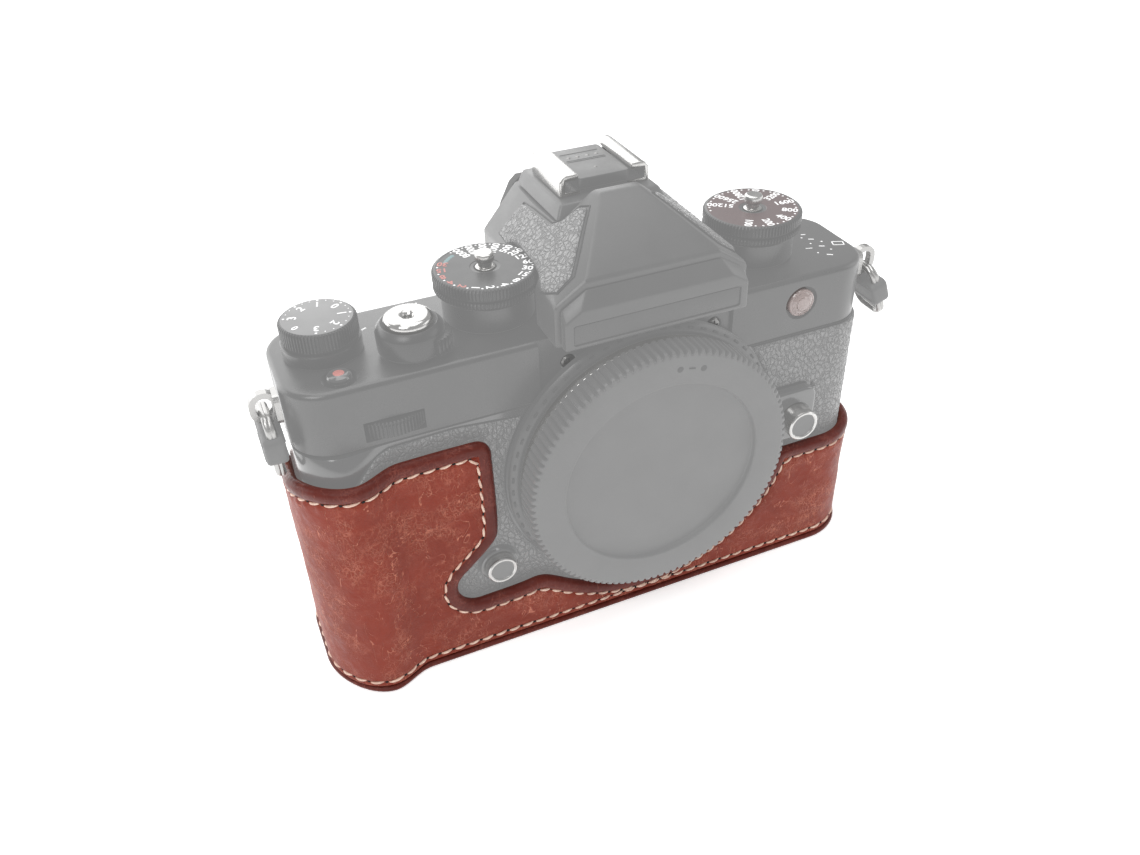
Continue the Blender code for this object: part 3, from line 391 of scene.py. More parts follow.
class Wall:
    """The line of a wall in plan, measured from the middle of the back and round by the left end."""

    def __init__(self, side_growth, end_growth, corner, with_grip=True, step=0.5):
        half, front, back = HALF_WIDTH + end_growth, FRONT - side_growth, BACK + side_growth
        corners = [(-half, back), (-half, front), (half, front), (half, back)]
        turns = [(90, 180), (180, 270), (270, 360), (0, 90)]
        rough = [(0.0, back)]
        for (x, y), (start, end) in zip(corners, turns):
            cx, cy = x - math.copysign(corner, x), y - math.copysign(corner, y)
            rough += arc(cx, cy, corner, start, end, 28)
        rough.append((0.0, back))
        dense = []
        for (x0, y0), (x1, y1) in zip(rough, rough[1:]):
            length = math.hypot(x1 - x0, y1 - y0)
            count = max(1, round(length / step))
            dense += [(x0 + (x1 - x0) * i / count, y0 + (y1 - y0) * i / count) for i in range(count)]
        dense.append(rough[-1])
        self.swell = [grip_swell(x) if with_grip and y < -5 else 0.0 for x, y in dense]
        self.points = [Vector((x, y - grow)) for (x, y), grow in zip(dense, self.swell)]
        self.at = [0.0]
        for first, second in zip(self.points, self.points[1:]):
            self.at.append(self.at[-1] + (second - first).length)
        self.length = self.at[-1]
        self.normals = []
        last = len(self.points) - 1
        for i in range(last + 1):
            before = self.points[i - 1] if i else self.points[last - 1]
            after = self.points[i + 1] if i < last else self.points[1]
            along = (after - before).normalized()
            self.normals.append(Vector((along.y, -along.x)))

    def find(self, s):
        """The span and the share of it at distance s."""
        s = min(max(s, 0.0), self.length)
        low, high = 0, len(self.at) - 1
        while high - low > 1:
            middle = (low + high) // 2
            if self.at[middle] <= s:
                low = middle
            else:
                high = middle
        share = (s - self.at[low]) / max(1e-9, self.at[high] - self.at[low])
        return low, share

    def place(self, s, z, lift):
        """The point at distance s and height z, lift outwards from the line."""
        i, share = self.find(s)
        base = self.points[i].lerp(self.points[i + 1], share)
        out = self.normals[i].lerp(self.normals[i + 1], share).normalized()
        spot = base + out * lift
        return Vector((spot.x, spot.y, z))

    def front(self, x):
        """The distance along at which the front is at x."""
        for i in range(len(self.points) - 1):
            a, b = self.points[i], self.points[i + 1]
            if a.y < -5 and a.x <= x < b.x:
                return self.at[i] + (x - a.x) / (b.x - a.x) * (self.at[i + 1] - self.at[i])
        raise ValueError("x is off the front")

    def end(self, y, side):
        """The distance along at which one end, -1 left or 1 right, is at y."""
        for i in range(len(self.points) - 1):
            a, b = self.points[i], self.points[i + 1]
            if a.x * side > HALF_WIDTH / 2 and min(a.y, b.y) <= y <= max(a.y, b.y) and a.y != b.y:
                return self.at[i] + (y - a.y) / (b.y - a.y) * (self.at[i + 1] - self.at[i])
        raise ValueError("y is off the end")


def eased(points, rounds=2):
    """A line of points with its corners cut off, its ends kept."""
    amount = 0.25
    for _ in range(rounds):
        made = [points[0]]
        for (x0, y0), (x1, y1) in zip(points, points[1:]):
            made.append((x0 + (x1 - x0) * amount, y0 + (y1 - y0) * amount))
            made.append((x1 - (x1 - x0) * amount, y1 - (y1 - y0) * amount))
        made.append(points[-1])
        points = made
    return points


def resampled(points, pitch):
    """The same line with points an even distance apart, close to pitch."""
    points = [Vector(p) for p in points]
    lengths = [0.0]
    for first, second in zip(points, points[1:]):
        lengths.append(lengths[-1] + (second - first).length)
    count = max(1, round(lengths[-1] / pitch))
    made, i = [], 0
    for k in range(count + 1):
        goal = lengths[-1] * k / count
        while i < len(points) - 2 and lengths[i + 1] < goal:
            i += 1
        share = (goal - lengths[i]) / max(1e-9, lengths[i + 1] - lengths[i])
        made.append(points[i].lerp(points[i + 1], min(1.0, share)))
    return made


# ---------------------------------------------------------------- materials


class Look:
    """A procedural material while it is built. Texture sizes are given in millimetres."""

    def __init__(self, name, metallic=0.0, specular=0.5):
        self.material = bpy.data.materials.new(name)
        self.material.use_nodes = True
        self.tree = self.material.node_tree
        self.shader = self.tree.nodes["Principled BSDF"]
        self.shader.inputs["Metallic"].default_value = metallic
        self.shader.inputs["Specular IOR Level"].default_value = specular
        self.place = self.tree.nodes.new("ShaderNodeTexCoord").outputs["Object"]

    def feed(self, socket, value):
        if isinstance(value, bpy.types.NodeSocket):
            self.tree.links.new(value, socket)
        elif value is not None:
            socket.default_value = value

    def stretched(self, x, y, z, turn=(0, 0, 0)):
        """Coordinates squeezed along each axis."""
        node = self.tree.nodes.new("ShaderNodeMapping")
        node.inputs["Scale"].default_value = (x, y, z)
        node.inputs["Rotation"].default_value = turn
        self.feed(node.inputs["Vector"], self.place)
        return node.outputs["Vector"]

    def noise(self, size, detail=3.0, rough=0.5, twist=0.0, where=None):
        node = self.tree.nodes.new("ShaderNodeTexNoise")
        node.inputs["Scale"].default_value = 1 / (size * MM)
        node.inputs["Detail"].default_value = detail
        node.inputs["Roughness"].default_value = rough
        node.inputs["Distortion"].default_value = twist
        self.feed(node.inputs["Vector"], where or self.place)
        return node.outputs["Fac"]

    def warped(self, size, amount, where=None):
        """Coordinates pushed about by a noise, for cells that aren't straight."""
        node = self.tree.nodes.new("ShaderNodeTexNoise")
        node.inputs["Scale"].default_value = 1 / (size * MM)
        node.inputs["Detail"].default_value = 2.0
        self.feed(node.inputs["Vector"], where or self.place)
        centred = self.tree.nodes.new("ShaderNodeVectorMath")
        centred.operation = "SUBTRACT"
        centred.inputs[1].default_value = (0.5, 0.5, 0.5)
        self.feed(centred.inputs[0], node.outputs["Color"])
        push = self.tree.nodes.new("ShaderNodeVectorMath")
        push.operation = "MULTIPLY_ADD"
        push.inputs[1].default_value = (amount * MM,) * 3
        self.feed(push.inputs[0], centred.outputs["Vector"])
        self.feed(push.inputs[2], where or self.place)
        return push.outputs["Vector"]

    def cells(self, size, feature="DISTANCE_TO_EDGE", where=None, spread=1.0):
        node = self.tree.nodes.new("ShaderNodeTexVoronoi")
        node.feature = feature
        node.inputs["Scale"].default_value = 1 / (size * MM)
        node.inputs["Randomness"].default_value = spread
        self.feed(node.inputs["Vector"], where or self.place)
        return node.outputs["Distance"]

    def sum(self, operation, first, second=0.5, third=None):
        node = self.tree.nodes.new("ShaderNodeMath")
        node.operation = operation
        self.feed(node.inputs[0], first)
        self.feed(node.inputs[1], second)
        self.feed(node.inputs[2], third)
        return node.outputs["Value"]

    def band(self, value, low, high, to_low=0.0, to_high=1.0):
        """The value spread smoothly from one range to another, and held at its ends."""
        node = self.tree.nodes.new("ShaderNodeMapRange")
        node.interpolation_type = "SMOOTHSTEP"
        for name, number in (("From Min", low), ("From Max", high), ("To Min", to_low), ("To Max", to_high)):
            node.inputs[name].default_value = number
        self.feed(node.inputs["Value"], value)
        return node.outputs["Result"]

    def mix(self, share, first, second):
        node = self.tree.nodes.new("ShaderNodeMix")
        node.data_type = "RGBA"
        self.feed(node.inputs["Factor"], share)
        for socket, value in ((node.inputs["A"], first), (node.inputs["B"], second)):
            self.feed(socket, (*value, 1.0) if isinstance(value, tuple) else value)
        return node.outputs["Result"]

    def bump(self, height, depth, normal=None):
        """A relief depth millimetres deep."""
        node = self.tree.nodes.new("ShaderNodeBump")
        node.inputs["Distance"].default_value = depth * MM
        node.inputs["Strength"].default_value = 1.0
        self.feed(node.inputs["Height"], height)
        self.feed(node.inputs["Normal"], normal)
        return node.outputs["Normal"]

    def painted_glow(self, level):
        """An even white glow on a part that is no lamp: painted light that lifts its shade, and most of the
        grey of a dark paint at the camera's level.
        """
        self.shader.inputs["Emission Color"].default_value = (1.0, 1.0, 1.0, 1.0)
        self.shader.inputs["Emission Strength"].default_value = level
        return self

    def done(self, colour=None, roughness=None, normal=None):
        if isinstance(colour, tuple):
            colour = (*colour, 1.0)
        self.feed(self.shader.inputs["Base Color"], colour)
        self.feed(self.shader.inputs["Roughness"], roughness)
        self.feed(self.shader.inputs["Normal"], normal)
        return self.material

    def coat(self, weight, roughness):
        self.shader.inputs["Coat Weight"].default_value = weight
        self.shader.inputs["Coat Roughness"].default_value = roughness
        return self


# Painted glow: emission of the camera's paints and coverings, which lifts their shade as if lit. At 0 they
# are an ordinary near-black.
PAINTED_GLOW = 0.185
METAL_PAINTED_GLOW = 0.4 * PAINTED_GLOW


def tone(level):
    """The linear value of an 8-bit display grey."""
    share = level / 255
    return share / 12.92 if share <= 0.04045 else ((share + 0.055) / 1.055) ** 2.4


def colour(red, green, blue):
    return (tone(red), tone(green), tone(blue))


def blended(first, second, share):
    return tuple(a + (b - a) * share for a, b in zip(first, second))


def leather_look(name, base, veins, mottle=0.14, relief=0.13, roughness=(0.36, 0.52)):
    """Pull-up leather: soft patches, clusters of hair-fine pale creases that branch, and small pores."""
    look = Look(name, specular=0.24)
    leaning = look.stretched(1.0, 1.0, 0.55, (0.0, 0.7, 0.0))
    upright = look.stretched(0.7, 1.0, 1.2, (0.0, -0.4, 0.0))

    def hairs(size, where, width, detail=3.5):
        level = look.noise(size, detail, 0.62, 0.7, where)
        return look.band(look.sum("ABSOLUTE", look.sum("SUBTRACT", level, 0.5)), 0.0, width, 1.0, 0.0)

    clusters = look.band(look.noise(9.0, 4, 0.62, 0.5), 0.40, 0.72)
    sparse = look.band(look.noise(5.0, 3, 0.6), 0.40, 0.62)
    long_hairs = look.sum("MULTIPLY", hairs(5.2, leaning, 0.013), sparse)
    short_hairs = look.sum("MULTIPLY", hairs(2.3, upright, 0.022), clusters)
    fine_hairs = look.sum("MULTIPLY", hairs(1.35, leaning, 0.03, 2.5), clusters)
    bent = look.warped(2.6, 2.4, leaning)
    net = look.sum("MULTIPLY", look.band(look.cells(1.7, where=bent), 0.0, 0.06, 1.0, 0.0), clusters)
    fine_lines = look.sum("MULTIPLY", look.sum("MAXIMUM", fine_hairs, net), 0.75)
    lines = look.sum("MAXIMUM", look.sum("MAXIMUM", long_hairs, short_hairs), fine_lines)
    pores = look.band(look.cells(0.42, "F1"), 0.05, 0.32, 0.0, 1.0)
    deep = blended(base, (0.0, 0.0, 0.0), mottle)
    lit = blended(base, veins, 0.12)
    patches = look.band(look.noise(13.0, 5, 0.6), 0.36, 0.64)
    speckle = look.band(look.noise(0.8, 4, 0.7), 0.42, 0.72)
    ground = look.mix(patches, deep, base)
    ground = look.mix(look.sum("MULTIPLY", clusters, 0.25), ground, lit)
    ground = look.mix(look.sum("MULTIPLY", speckle, 0.22), ground, lit)
    tinted = look.mix(look.sum("MULTIPLY", lines, 0.7), ground, veins)
    height = look.sum("MULTIPLY_ADD", lines, -0.8, look.sum("MULTIPLY", pores, 0.45))
    height = look.sum("MULTIPLY_ADD", look.noise(1.3, 4, 0.62), 0.9, height)
    normal = look.bump(look.noise(5.0, 3, 0.5), 0.4)
    normal = look.bump(height, relief, normal)
    shine = look.band(look.noise(2.6, 4, 0.6), 0.3, 0.7, roughness[0], roughness[1])
    return look.done(tinted, look.sum("MULTIPLY_ADD", lines, 0.1, shine), normal)


def paint_look(name, level, roughness=0.42, grain=0.05, tint=(1.0, 1.0, 1.0), wear=0.10, coat=0.0,
               specular=0.5):
    """Fine-grained satin paint or moulding, with faint patches of wear and dust, and a painted glow that
    lifts its shade.
    """
    look = Look(name, specular=specular).painted_glow(PAINTED_GLOW)
    base = tuple(level * t for t in tint)
    patches = look.band(look.noise(18.0, 4, 0.6), 0.35, 0.65)
    dust = look.band(look.noise(0.9, 5, 0.75), 0.64, 0.86)
    rubbed = tuple(min(1.0, part * (1 + 2 * wear)) for part in base)
    ground = look.mix(patches, blended(base, (0.0, 0.0, 0.0), wear), base)
    ground = look.mix(look.sum("MULTIPLY", dust, 0.5), ground, rubbed)
    fine = look.noise(0.16, 3, 0.6)
    normal = look.bump(fine, grain)
    shine = look.band(look.noise(7.0, 4, 0.6), 0.3, 0.7, roughness - 0.05, roughness + 0.07)
    if coat:
        look.coat(coat, 0.12)
    return look.done(ground, shine, normal)


def leatherette_look(name, level):
    """Pebbled imitation leather: rounded bumps of uneven size, glossy on top and dull in the creases, with
    painted shade darkening the creases and a painted glow lifting its shade.
    """
    size, relief = 1.15, 0.26
    look = Look(name, specular=0.9).painted_glow(PAINTED_GLOW)
    bent = look.warped(2.4, 1.5, look.stretched(1.0, 1.0, 0.72))
    pebbles = look.cells(size, "SMOOTH_F1", bent)
    grooves = look.band(look.cells(size, where=bent), 0.0, 0.16)
    tiny = look.band(look.cells(size * 0.42, where=bent), 0.0, 0.2)
    height = look.sum("MULTIPLY_ADD", pebbles, -0.8, grooves)
    height = look.sum("MULTIPLY_ADD", tiny, 0.25, height)
    normal = look.bump(look.noise(5.0, 3, 0.5), 0.2)
    normal = look.bump(height, relief, normal)
    base = (level,) * 3
    # Painted shade: the colour darkens into the creases between pebbles and is a touch lighter on their tops.
    ground = look.mix(grooves, blended(base, (0.0, 0.0, 0.0), 0.4), blended(base, (1.0, 1.0, 1.0), 0.02))
    shine = look.sum("MULTIPLY_ADD", grooves, -0.3, 0.56)
    return look.done(ground, shine, normal)


def metal_look(name, level, roughness=0.2, brushed=(0.4, 0.4, 8.0)):
    """Polished or brushed metal with hairline marks, and a weaker painted glow that lifts its shade."""
    tint, grain = (1.0, 0.99, 0.97), 0.012
    look = Look(name, metallic=1.0).painted_glow(METAL_PAINTED_GLOW)
    hair = look.noise(0.35, 4, 0.7, where=look.stretched(*brushed))
    smudge = look.band(look.noise(5.0, 4, 0.6), 0.35, 0.7)
    base = tuple(level * t for t in tint)
    ground = look.mix(smudge, blended(base, (0.0, 0.0, 0.0), 0.10), base)
    shine = look.band(smudge, 0.0, 1.0, roughness - 0.05, roughness + 0.08)
    return look.done(ground, shine, look.bump(hair, grain))


def rubber_look(name, level, roughness=0.7, glow_share=1.0):
    # Painted glow lifts the rubber's shade, scaled by the last argument.
    look = Look(name, specular=0.3).painted_glow(PAINTED_GLOW * glow_share)
    speck = look.noise(0.3, 4, 0.7)
    base = (level,) * 3
    ground = look.mix(look.band(look.noise(4.0, 3), 0.35, 0.7), blended(base, (0, 0, 0), 0.15),
                      base)
    return look.done(ground, look.band(speck, 0.3, 0.7, roughness - 0.08, roughness + 0.08),
                     look.bump(speck, 0.05))


def glass_look(name, base, roughness=0.08):
    look = Look(name, specular=0.6)
    look.coat(0.6, 0.04)
    ground = look.mix(look.band(look.noise(2.5, 3), 0.35, 0.7), blended(base, (0, 0, 0), 0.12), base)
    return look.done(ground, roughness, look.bump(look.noise(3.0, 2), 0.02))


def thread_look():
    """Waxed cream thread with a twist of fine plies."""
    look = Look("thread_cream", specular=0.3)
    ply = look.cells(0.32, "F1", look.stretched(1.0, 1.0, 1.0, (0.6, 0.5, 0.4)))
    ground = look.mix(look.band(look.noise(1.2, 3), 0.35, 0.7), colour(222, 186, 168), colour(240, 214, 196))
    return look.done(ground, 0.62, look.bump(ply, 0.12))


def board_look():
    look = Look("circuit_green")
    tracks = look.band(look.cells(2.2, "F1", spread=0.4), 0.32, 0.36)
    return look.done(look.mix(tracks, (0.02, 0.11, 0.05), (0.05, 0.26, 0.12)), 0.5, look.bump(tracks, 0.04))


LEATHER_BASE = colour(132, 48, 30)
LEATHER_VEINS = colour(212, 136, 112)

LOOKS = {
    "leather": leather_look("leather_tan", LEATHER_BASE, LEATHER_VEINS),
    "leather_edge": leather_look("leather_rolled_edge", colour(98, 38, 30), colour(140, 76, 64), relief=0.05,
                                 mottle=0.2, roughness=(0.28, 0.4)),
    "lining": leather_look("suede_lining", colour(110, 54, 42), colour(140, 90, 76), relief=0.1,
                           roughness=(0.75, 0.9)),
    "thread": thread_look(),
    # Near-black for the stitch holes: painted shade.
    "hole": rubber_look("stitch_hole_painted_shade", 0.012, 0.8, 0.0),
    "cover": paint_look("satin_cover", 0.018, 0.30, 0.012, specular=0.5),
    # A lighter copy of the cover paint: painted light for the shoe plinth's faces that the lamps catch.
    "cover_painted_lit": paint_look("satin_cover_painted_lit", 0.045, 0.34, 0.012, specular=0.5),
    "hump": paint_look("satin_hump", 0.034, 0.34, 0.012, specular=0.5),
    "nose_dark": paint_look("satin_inset", 0.016, 0.3, 0.01, specular=0.5),
    "gloss": paint_look("gloss_moulding", 0.02, 0.16, 0.006, coat=0.4, specular=0.7),
    "cap": paint_look("cap_moulding", 0.062, 0.42, 0.03),
    "bezel": paint_look("bezel_paint", 0.02, 0.34, 0.012),
    "knurl": paint_look("knurl_paint", 0.01, 0.26, 0.012, specular=0.35),
    "dial_face": paint_look("dial_face_black", 0.006, 0.3, 0.006, specular=0.25),
    "iso_face": paint_look("dial_face_brown", 0.03, 0.3, 0.006, tint=(1.6, 0.5, 0.5), specular=0.25),
    "ev_face": paint_look("dial_face_grey", 0.115, 0.36, 0.012),
    # Near-black for painted shade in gaps, notches and grooves, and for the cap's index marks.
    "shade_and_mark_black": paint_look("painted_shade_and_mark_black", 0.005, 0.6, 0.02),
    "leatherette": leatherette_look("leatherette_pebbled", 0.07),
    # A lighter copy of the leatherette: painted light on the finder hump's sloping sides, which face the
    # lamps.
    "leatherette_painted_lit": leatherette_look("leatherette_hump_painted_lit", 0.11),
    "chrome": metal_look("chrome_bright", 0.56, 0.16),
    "lug_metal": metal_look("lug_plated", 0.42, 0.3),
    "chrome_satin": metal_look("chrome_satin", 0.62, 0.28, (0.3, 6.0, 0.3)),
    "dark_metal": metal_look("blackened_steel", 0.24, 0.36),
    "rubber": rubber_look("rubber_grey", 0.08, 0.5),
    "eyecup": rubber_look("rubber_dark", 0.03, 0.7),
    "plastic": paint_look("button_moulding", 0.035, 0.36, 0.02),
    "lamp": glass_look("lamp_rose", colour(172, 158, 155), 0.1),
    "eye_glass": glass_look("finder_glass", (0.09, 0.10, 0.13), 0.05),
    "screen": glass_look("screen_glass_dark", (0.045, 0.045, 0.05), 0.06),
    "sensor": glass_look("sensor_stack", (0.05, 0.09, 0.11), 0.08),
    "board": board_look(),
    "white": paint_look("ink_white", 0.80, 0.5, 0.006, wear=0.02),
    "red": paint_look("ink_red", 0.42, 0.5, 0.006, tint=(1.0, 0.25, 0.2)),
    "teal": paint_look("ink_teal", 0.2, 0.5, 0.006, tint=(0.4, 0.95, 1.0)),
}


# ---------------------------------------------------------------- the half case


def case_edge(wall):
    """The case's free upper edge as distance along and height, from the back round by the left end."""
    def end_line(side, top, high_end):
        line = [(15.0, CASE_BACK_TOP), (13.0, CASE_BACK_TOP + 1), (11.6, CASE_BACK_TOP + 4), (11.0, top - 8),
                (9.5, top - 3), (6.0, top), (0.0, top), (-11.5, high_end)]
        return [(wall.end(y, side), z) for y, z in line]

    edge = [(0.0, CASE_BACK_TOP)] + end_line(-1, CASE_LEFT_TOP, CASE_FRONT_TOP - 2.5)
    front = [(-67.0, CASE_FRONT_TOP - 1.6), (-62.0, CASE_FRONT_TOP - 0.6), (-45.0, CASE_FRONT_TOP)]
    front += arc(-33.1, 58.0, 3.5, 90, 0, 5) + [(-29.4, 36.5), (-30.6, 33.0)]
    front += arc(-35.0, 21.6, 5.6, 120, 280, 12) + [(-25.0, 16.3), (-19.5, 17.2)]
    front += arc(LENS_X, LENS_Z, 37.8, -128, -22, 24)
    front += arc(46.5, CASE_RIGHT_TOP - 3, 3, 160, 90, 4) + [(62.0, CASE_RIGHT_TOP)]
    edge += [(wall.front(x), z) for x, z in front]
    edge += list(reversed(end_line(1, CASE_RIGHT_TOP, CASE_RIGHT_TOP)))
    edge.append((wall.length, CASE_BACK_TOP))
    return eased(edge, 2)


def case_thickness(inset, along, rise):
    """Outer and inner lift of the leather, inset from its upper edge, along the edge and above its foot."""
    half, rim = LEATHER / 2, 1.15
    roll = math.sqrt(max(0.0, 1 - ((rim - inset) / rim) ** 2)) if inset < rim else 1.0
    band = 0.30 * math.sin(math.pi * min(1.0, max(0.0,
                                                  (inset - 0.2) / 2.9))) ** 0.7 if 0.2 < inset < 3.1 else 0.0
    groove = -0.42 * math.exp(-(((inset - STITCH_INSET) / 0.42) ** 2))
    beside = math.exp(-(((inset - STITCH_INSET - 0.9) / 1.1) ** 2))
    pucker = 0.14 * math.cos(2 * math.pi * along / STITCH_PITCH) * beside
    foot_roll = math.sqrt(max(0.0, 1 - ((0.8 - rise) / 0.8) ** 2)) if rise < 0.8 else 1.0
    foot_groove = -0.34 * math.exp(-(((rise - BASE_STITCH_RISE) / 0.42) ** 2))
    outer = half + half * min(roll, foot_roll) + band + groove + pucker + foot_groove
    inner = half - half * min(roll, foot_roll)
    return outer, max(0.02, inner)


def developed_sheet(wall, upper, floor, insets, spacing):
    """Flat points (distance along, height) and triangles between a floor line and an upper edge."""
    upper = resampled(upper, 0.75)
    dense = resampled(upper, 0.12)
    tree = kdtree.KDTree(len(dense))
    for i, point in enumerate(dense):
        tree.insert((point.x, point.y, 0.0), i)
    tree.balance()
    pitch = (dense[1] - dense[0]).length

    def edge_distance(point):
        _, index, distance = tree.find((point[0], point[1], 0.0))
        return distance, index * pitch

    count = round(wall.length / 0.9)
    foot = [Vector((wall.length * (1 - i / count), floor)) for i in range(count + 1)]
    outline = list(upper) + foot
    points = [Vector(p) for p in outline]
    for inset in insets:
        for i in range(1, len(upper) - 1):
            along = (upper[i + 1] - upper[i - 1]).normalized()
            spot = upper[i] + Vector((along.y, -along.x)) * inset
            if spot.y > floor + 3.2 and edge_distance(spot)[0] > inset * 0.94:
                points.append(spot)
    for rise in (0.25, 0.6, 1.1, 1.5, 1.9, 2.3, 2.8):
        for i in range(count + 1):
            spot = Vector((wall.length * i / count, floor + rise))
            if edge_distance(spot)[0] > insets[-1] * 0.4:
                points.append(spot)
    rows = round(60 / spacing)
    columns = round(wall.length / spacing)
    for row in range(rows):
        z = floor + 3.6 + row * spacing * 0.9
        for column in range(columns + 1):
            s = wall.length * (column + 0.5 * (row % 2)) / columns
            if s >= wall.length:
                continue
            spot = Vector((s, z))
            if inside_edge(spot, upper) and edge_distance(spot)[0] > insets[-1] + spacing * 0.5:
                points.append(spot)
    edges = [(i, (i + 1) % len(outline)) for i in range(len(outline))]
    verts, _, faces, *_ = delaunay_2d_cdt(points, edges, [], 1, 0.001)
    return verts, faces, edge_distance


def inside_edge(spot, upper):
    """Whether a point lies below the upper edge."""
    crossings = 0
    for a, b in zip(upper, upper[1:]):
        if (a.x <= spot.x) != (b.x <= spot.x):
            height = a.y + (b.y - a.y) * (spot.x - a.x) / (b.x - a.x)
            crossings += height > spot.y
    return crossings % 2 == 1


def build_case_shell():
    wall = Wall(CASE_CLEARANCE, CASE_END_CLEARANCE, CORNER + CASE_CLEARANCE)
    floor = CASE_SOLE + 0.1
    upper = case_edge(wall)
    insets = (0.16, 0.45, 0.85, 1.4, 2.0, 2.6, 3.0, 3.4, 3.8, 4.3, 5.0)
    flat, triangles, edge_distance = developed_sheet(wall, upper, floor, insets, 1.5)
    outer, inner, insets_found = [], [], []
    for point in flat:
        inset, along = edge_distance(point)
        rise = point.y - floor
        out, back = case_thickness(inset, along, rise)
        seat = Vector((wall.place(point.x, point.y, 0.0)))
        calm = min(1.0, inset / 6.0) * min(1.0, rise / 4.0)
        wave = noise.noise(seat * 0.075) * 0.32 + noise.noise(seat * 0.19 + Vector((7, 3, 1))) * 0.14
        fine = noise.noise(seat * 0.55) * 0.05
        out += calm * (wave + fine) - 0.05
        outer.append(wall.place(point.x, point.y, out))
        inner.append(wall.place(point.x, point.y, back))
        insets_found.append(inset)
    count = len(flat)
    verts = outer + inner
    faces, indices = [], []
    for a, b, c in triangles:
        first, second, third = flat[a], flat[b], flat[c]
        turn = (second - first).cross(third - first)
        if turn < 0:
            b, c = c, b
        near_edge = max(insets_found[v] for v in (a, b, c)) < 3.05
        faces.append((a, b, c))
        indices.append(1 if near_edge else 0)
        faces.append((c + count, b + count, a + count))
        indices.append(2)
    sides = {}
    for a, b, c in [f for f, i in zip(faces, indices) if i < 2]:
        for pair in ((a, b), (b, c), (c, a)):
            sides[pair] = True
    seam = {0.0, wall.length}
    for a, b in list(sides):
        if (b, a) not in sides and not (flat[a].x in seam and flat[b].x in seam and flat[a].x == flat[b].x):
            faces.append((b, a, a + count, b + count))
            indices.append(1)
    shell = mesh_object("case_shell_leather", verts, faces,
                        [LOOKS["leather"], LOOKS["leather_edge"], LOOKS["lining"]],
                        60, indices)
    clean(shell, 0.002)
    shade(shell, 60)
    settle(shell, ROOT, "leather", "case_shell")
    upper_line = stitch_line(upper, STITCH_INSET, edge_distance)
    foot_line = [(wall.length * i / 200, floor + BASE_STITCH_RISE) for i in range(201)]
    build_stitches("case_stitching_upper", wall, upper_line, LEATHER - 0.36)
    build_stitches("case_stitching_foot", wall, foot_line, LEATHER - 0.30)


def stitch_line(upper, inset, edge_distance):
    """The line that the stitches follow, a fixed inset inside the free edge."""
    line = resampled(upper, 0.6)
    made = []
    for i in range(1, len(line) - 1):
        along = (line[i + 1] - line[i - 1]).normalized()
        spot = line[i] + Vector((along.y, -along.x)) * inset
        if edge_distance(spot)[0] > inset * 0.965:
            made.append(spot)
    smooth = []
    for i in range(len(made)):
        near = made[max(0, i - 1): i + 2]
        smooth.append(sum(near, Vector((0, 0))) / len(near))
    return smooth


def build_stitches(name, wall, line, lift):
    """A row of short arched stitches, each a little aslant, with a near-black disc of painted shade for the
    hole at each end.
    """
    line = resampled(line, STITCH_PITCH)
    shapes = []
    for number, (a, b) in enumerate(zip(line, line[1:])):
        along = (b - a).normalized()
        middle = (a + b) / 2
        slant = math.radians(9 + 5 * noise.noise(Vector((number * 1.7, 0.3, lift))))
        heading = Vector((along.x * math.cos(slant) - along.y * math.sin(slant),
                          along.x * math.sin(slant) + along.y * math.cos(slant)))
        points, radii = [], []
        for k in range(9):
            t = k / 4 - 1
            spot = middle + heading * (t * STITCH_LENGTH / 2)
            rise = 0.36 * (1 - t * t) - 0.16
            points.append(wall.place(spot.x, spot.y, lift + rise))
            radii.append(THREAD * math.sqrt(max(0.05, 1 - abs(t) ** 3.0)))
        shapes.append((*tube_path(points, radii, 8), 0))
        # Painted shade: a near-black disc at each stitch end stands for the shade in the hole.
        out = (wall.place(a.x, a.y, lift + 1.0) - wall.place(a.x, a.y, lift)).normalized()
        spot = wall.place(a.x, a.y, lift)
        shapes.append((*disc(spot, out, 0.4, 0.1), 1))
    made = gather(name, shapes, [LOOKS["thread"], LOOKS["hole"]], 60)
    settle(made, ROOT, "leather")


def disc(centre, axis, radius, height, sides=10):
    """A low domed disc."""
    axis = Vector(axis).normalized()
    across = axis.orthogonal().normalized()
    other = axis.cross(across)
    centre = Vector(centre)
    verts = []
    for r, h in ((radius, -height), (radius, 0.0), (radius * 0.7, height * 0.8)):
        for k in range(sides):
            angle = 2 * math.pi * k / sides
            verts.append(centre + axis * h + (across * math.cos(angle) + other * math.sin(angle)) * r)
    top = len(verts)
    verts.append(centre + axis * height)
    faces = [tuple(reversed(range(sides)))]
    for row in range(2):
        for k in range(sides):
            m = (k + 1) % sides
            faces.append((row * sides + k, row * sides + m, (row + 1) * sides + m, (row + 1) * sides + k))
    faces += [(2 * sides + k, 2 * sides + (k + 1) % sides, top) for k in range(sides)]
    return verts, faces


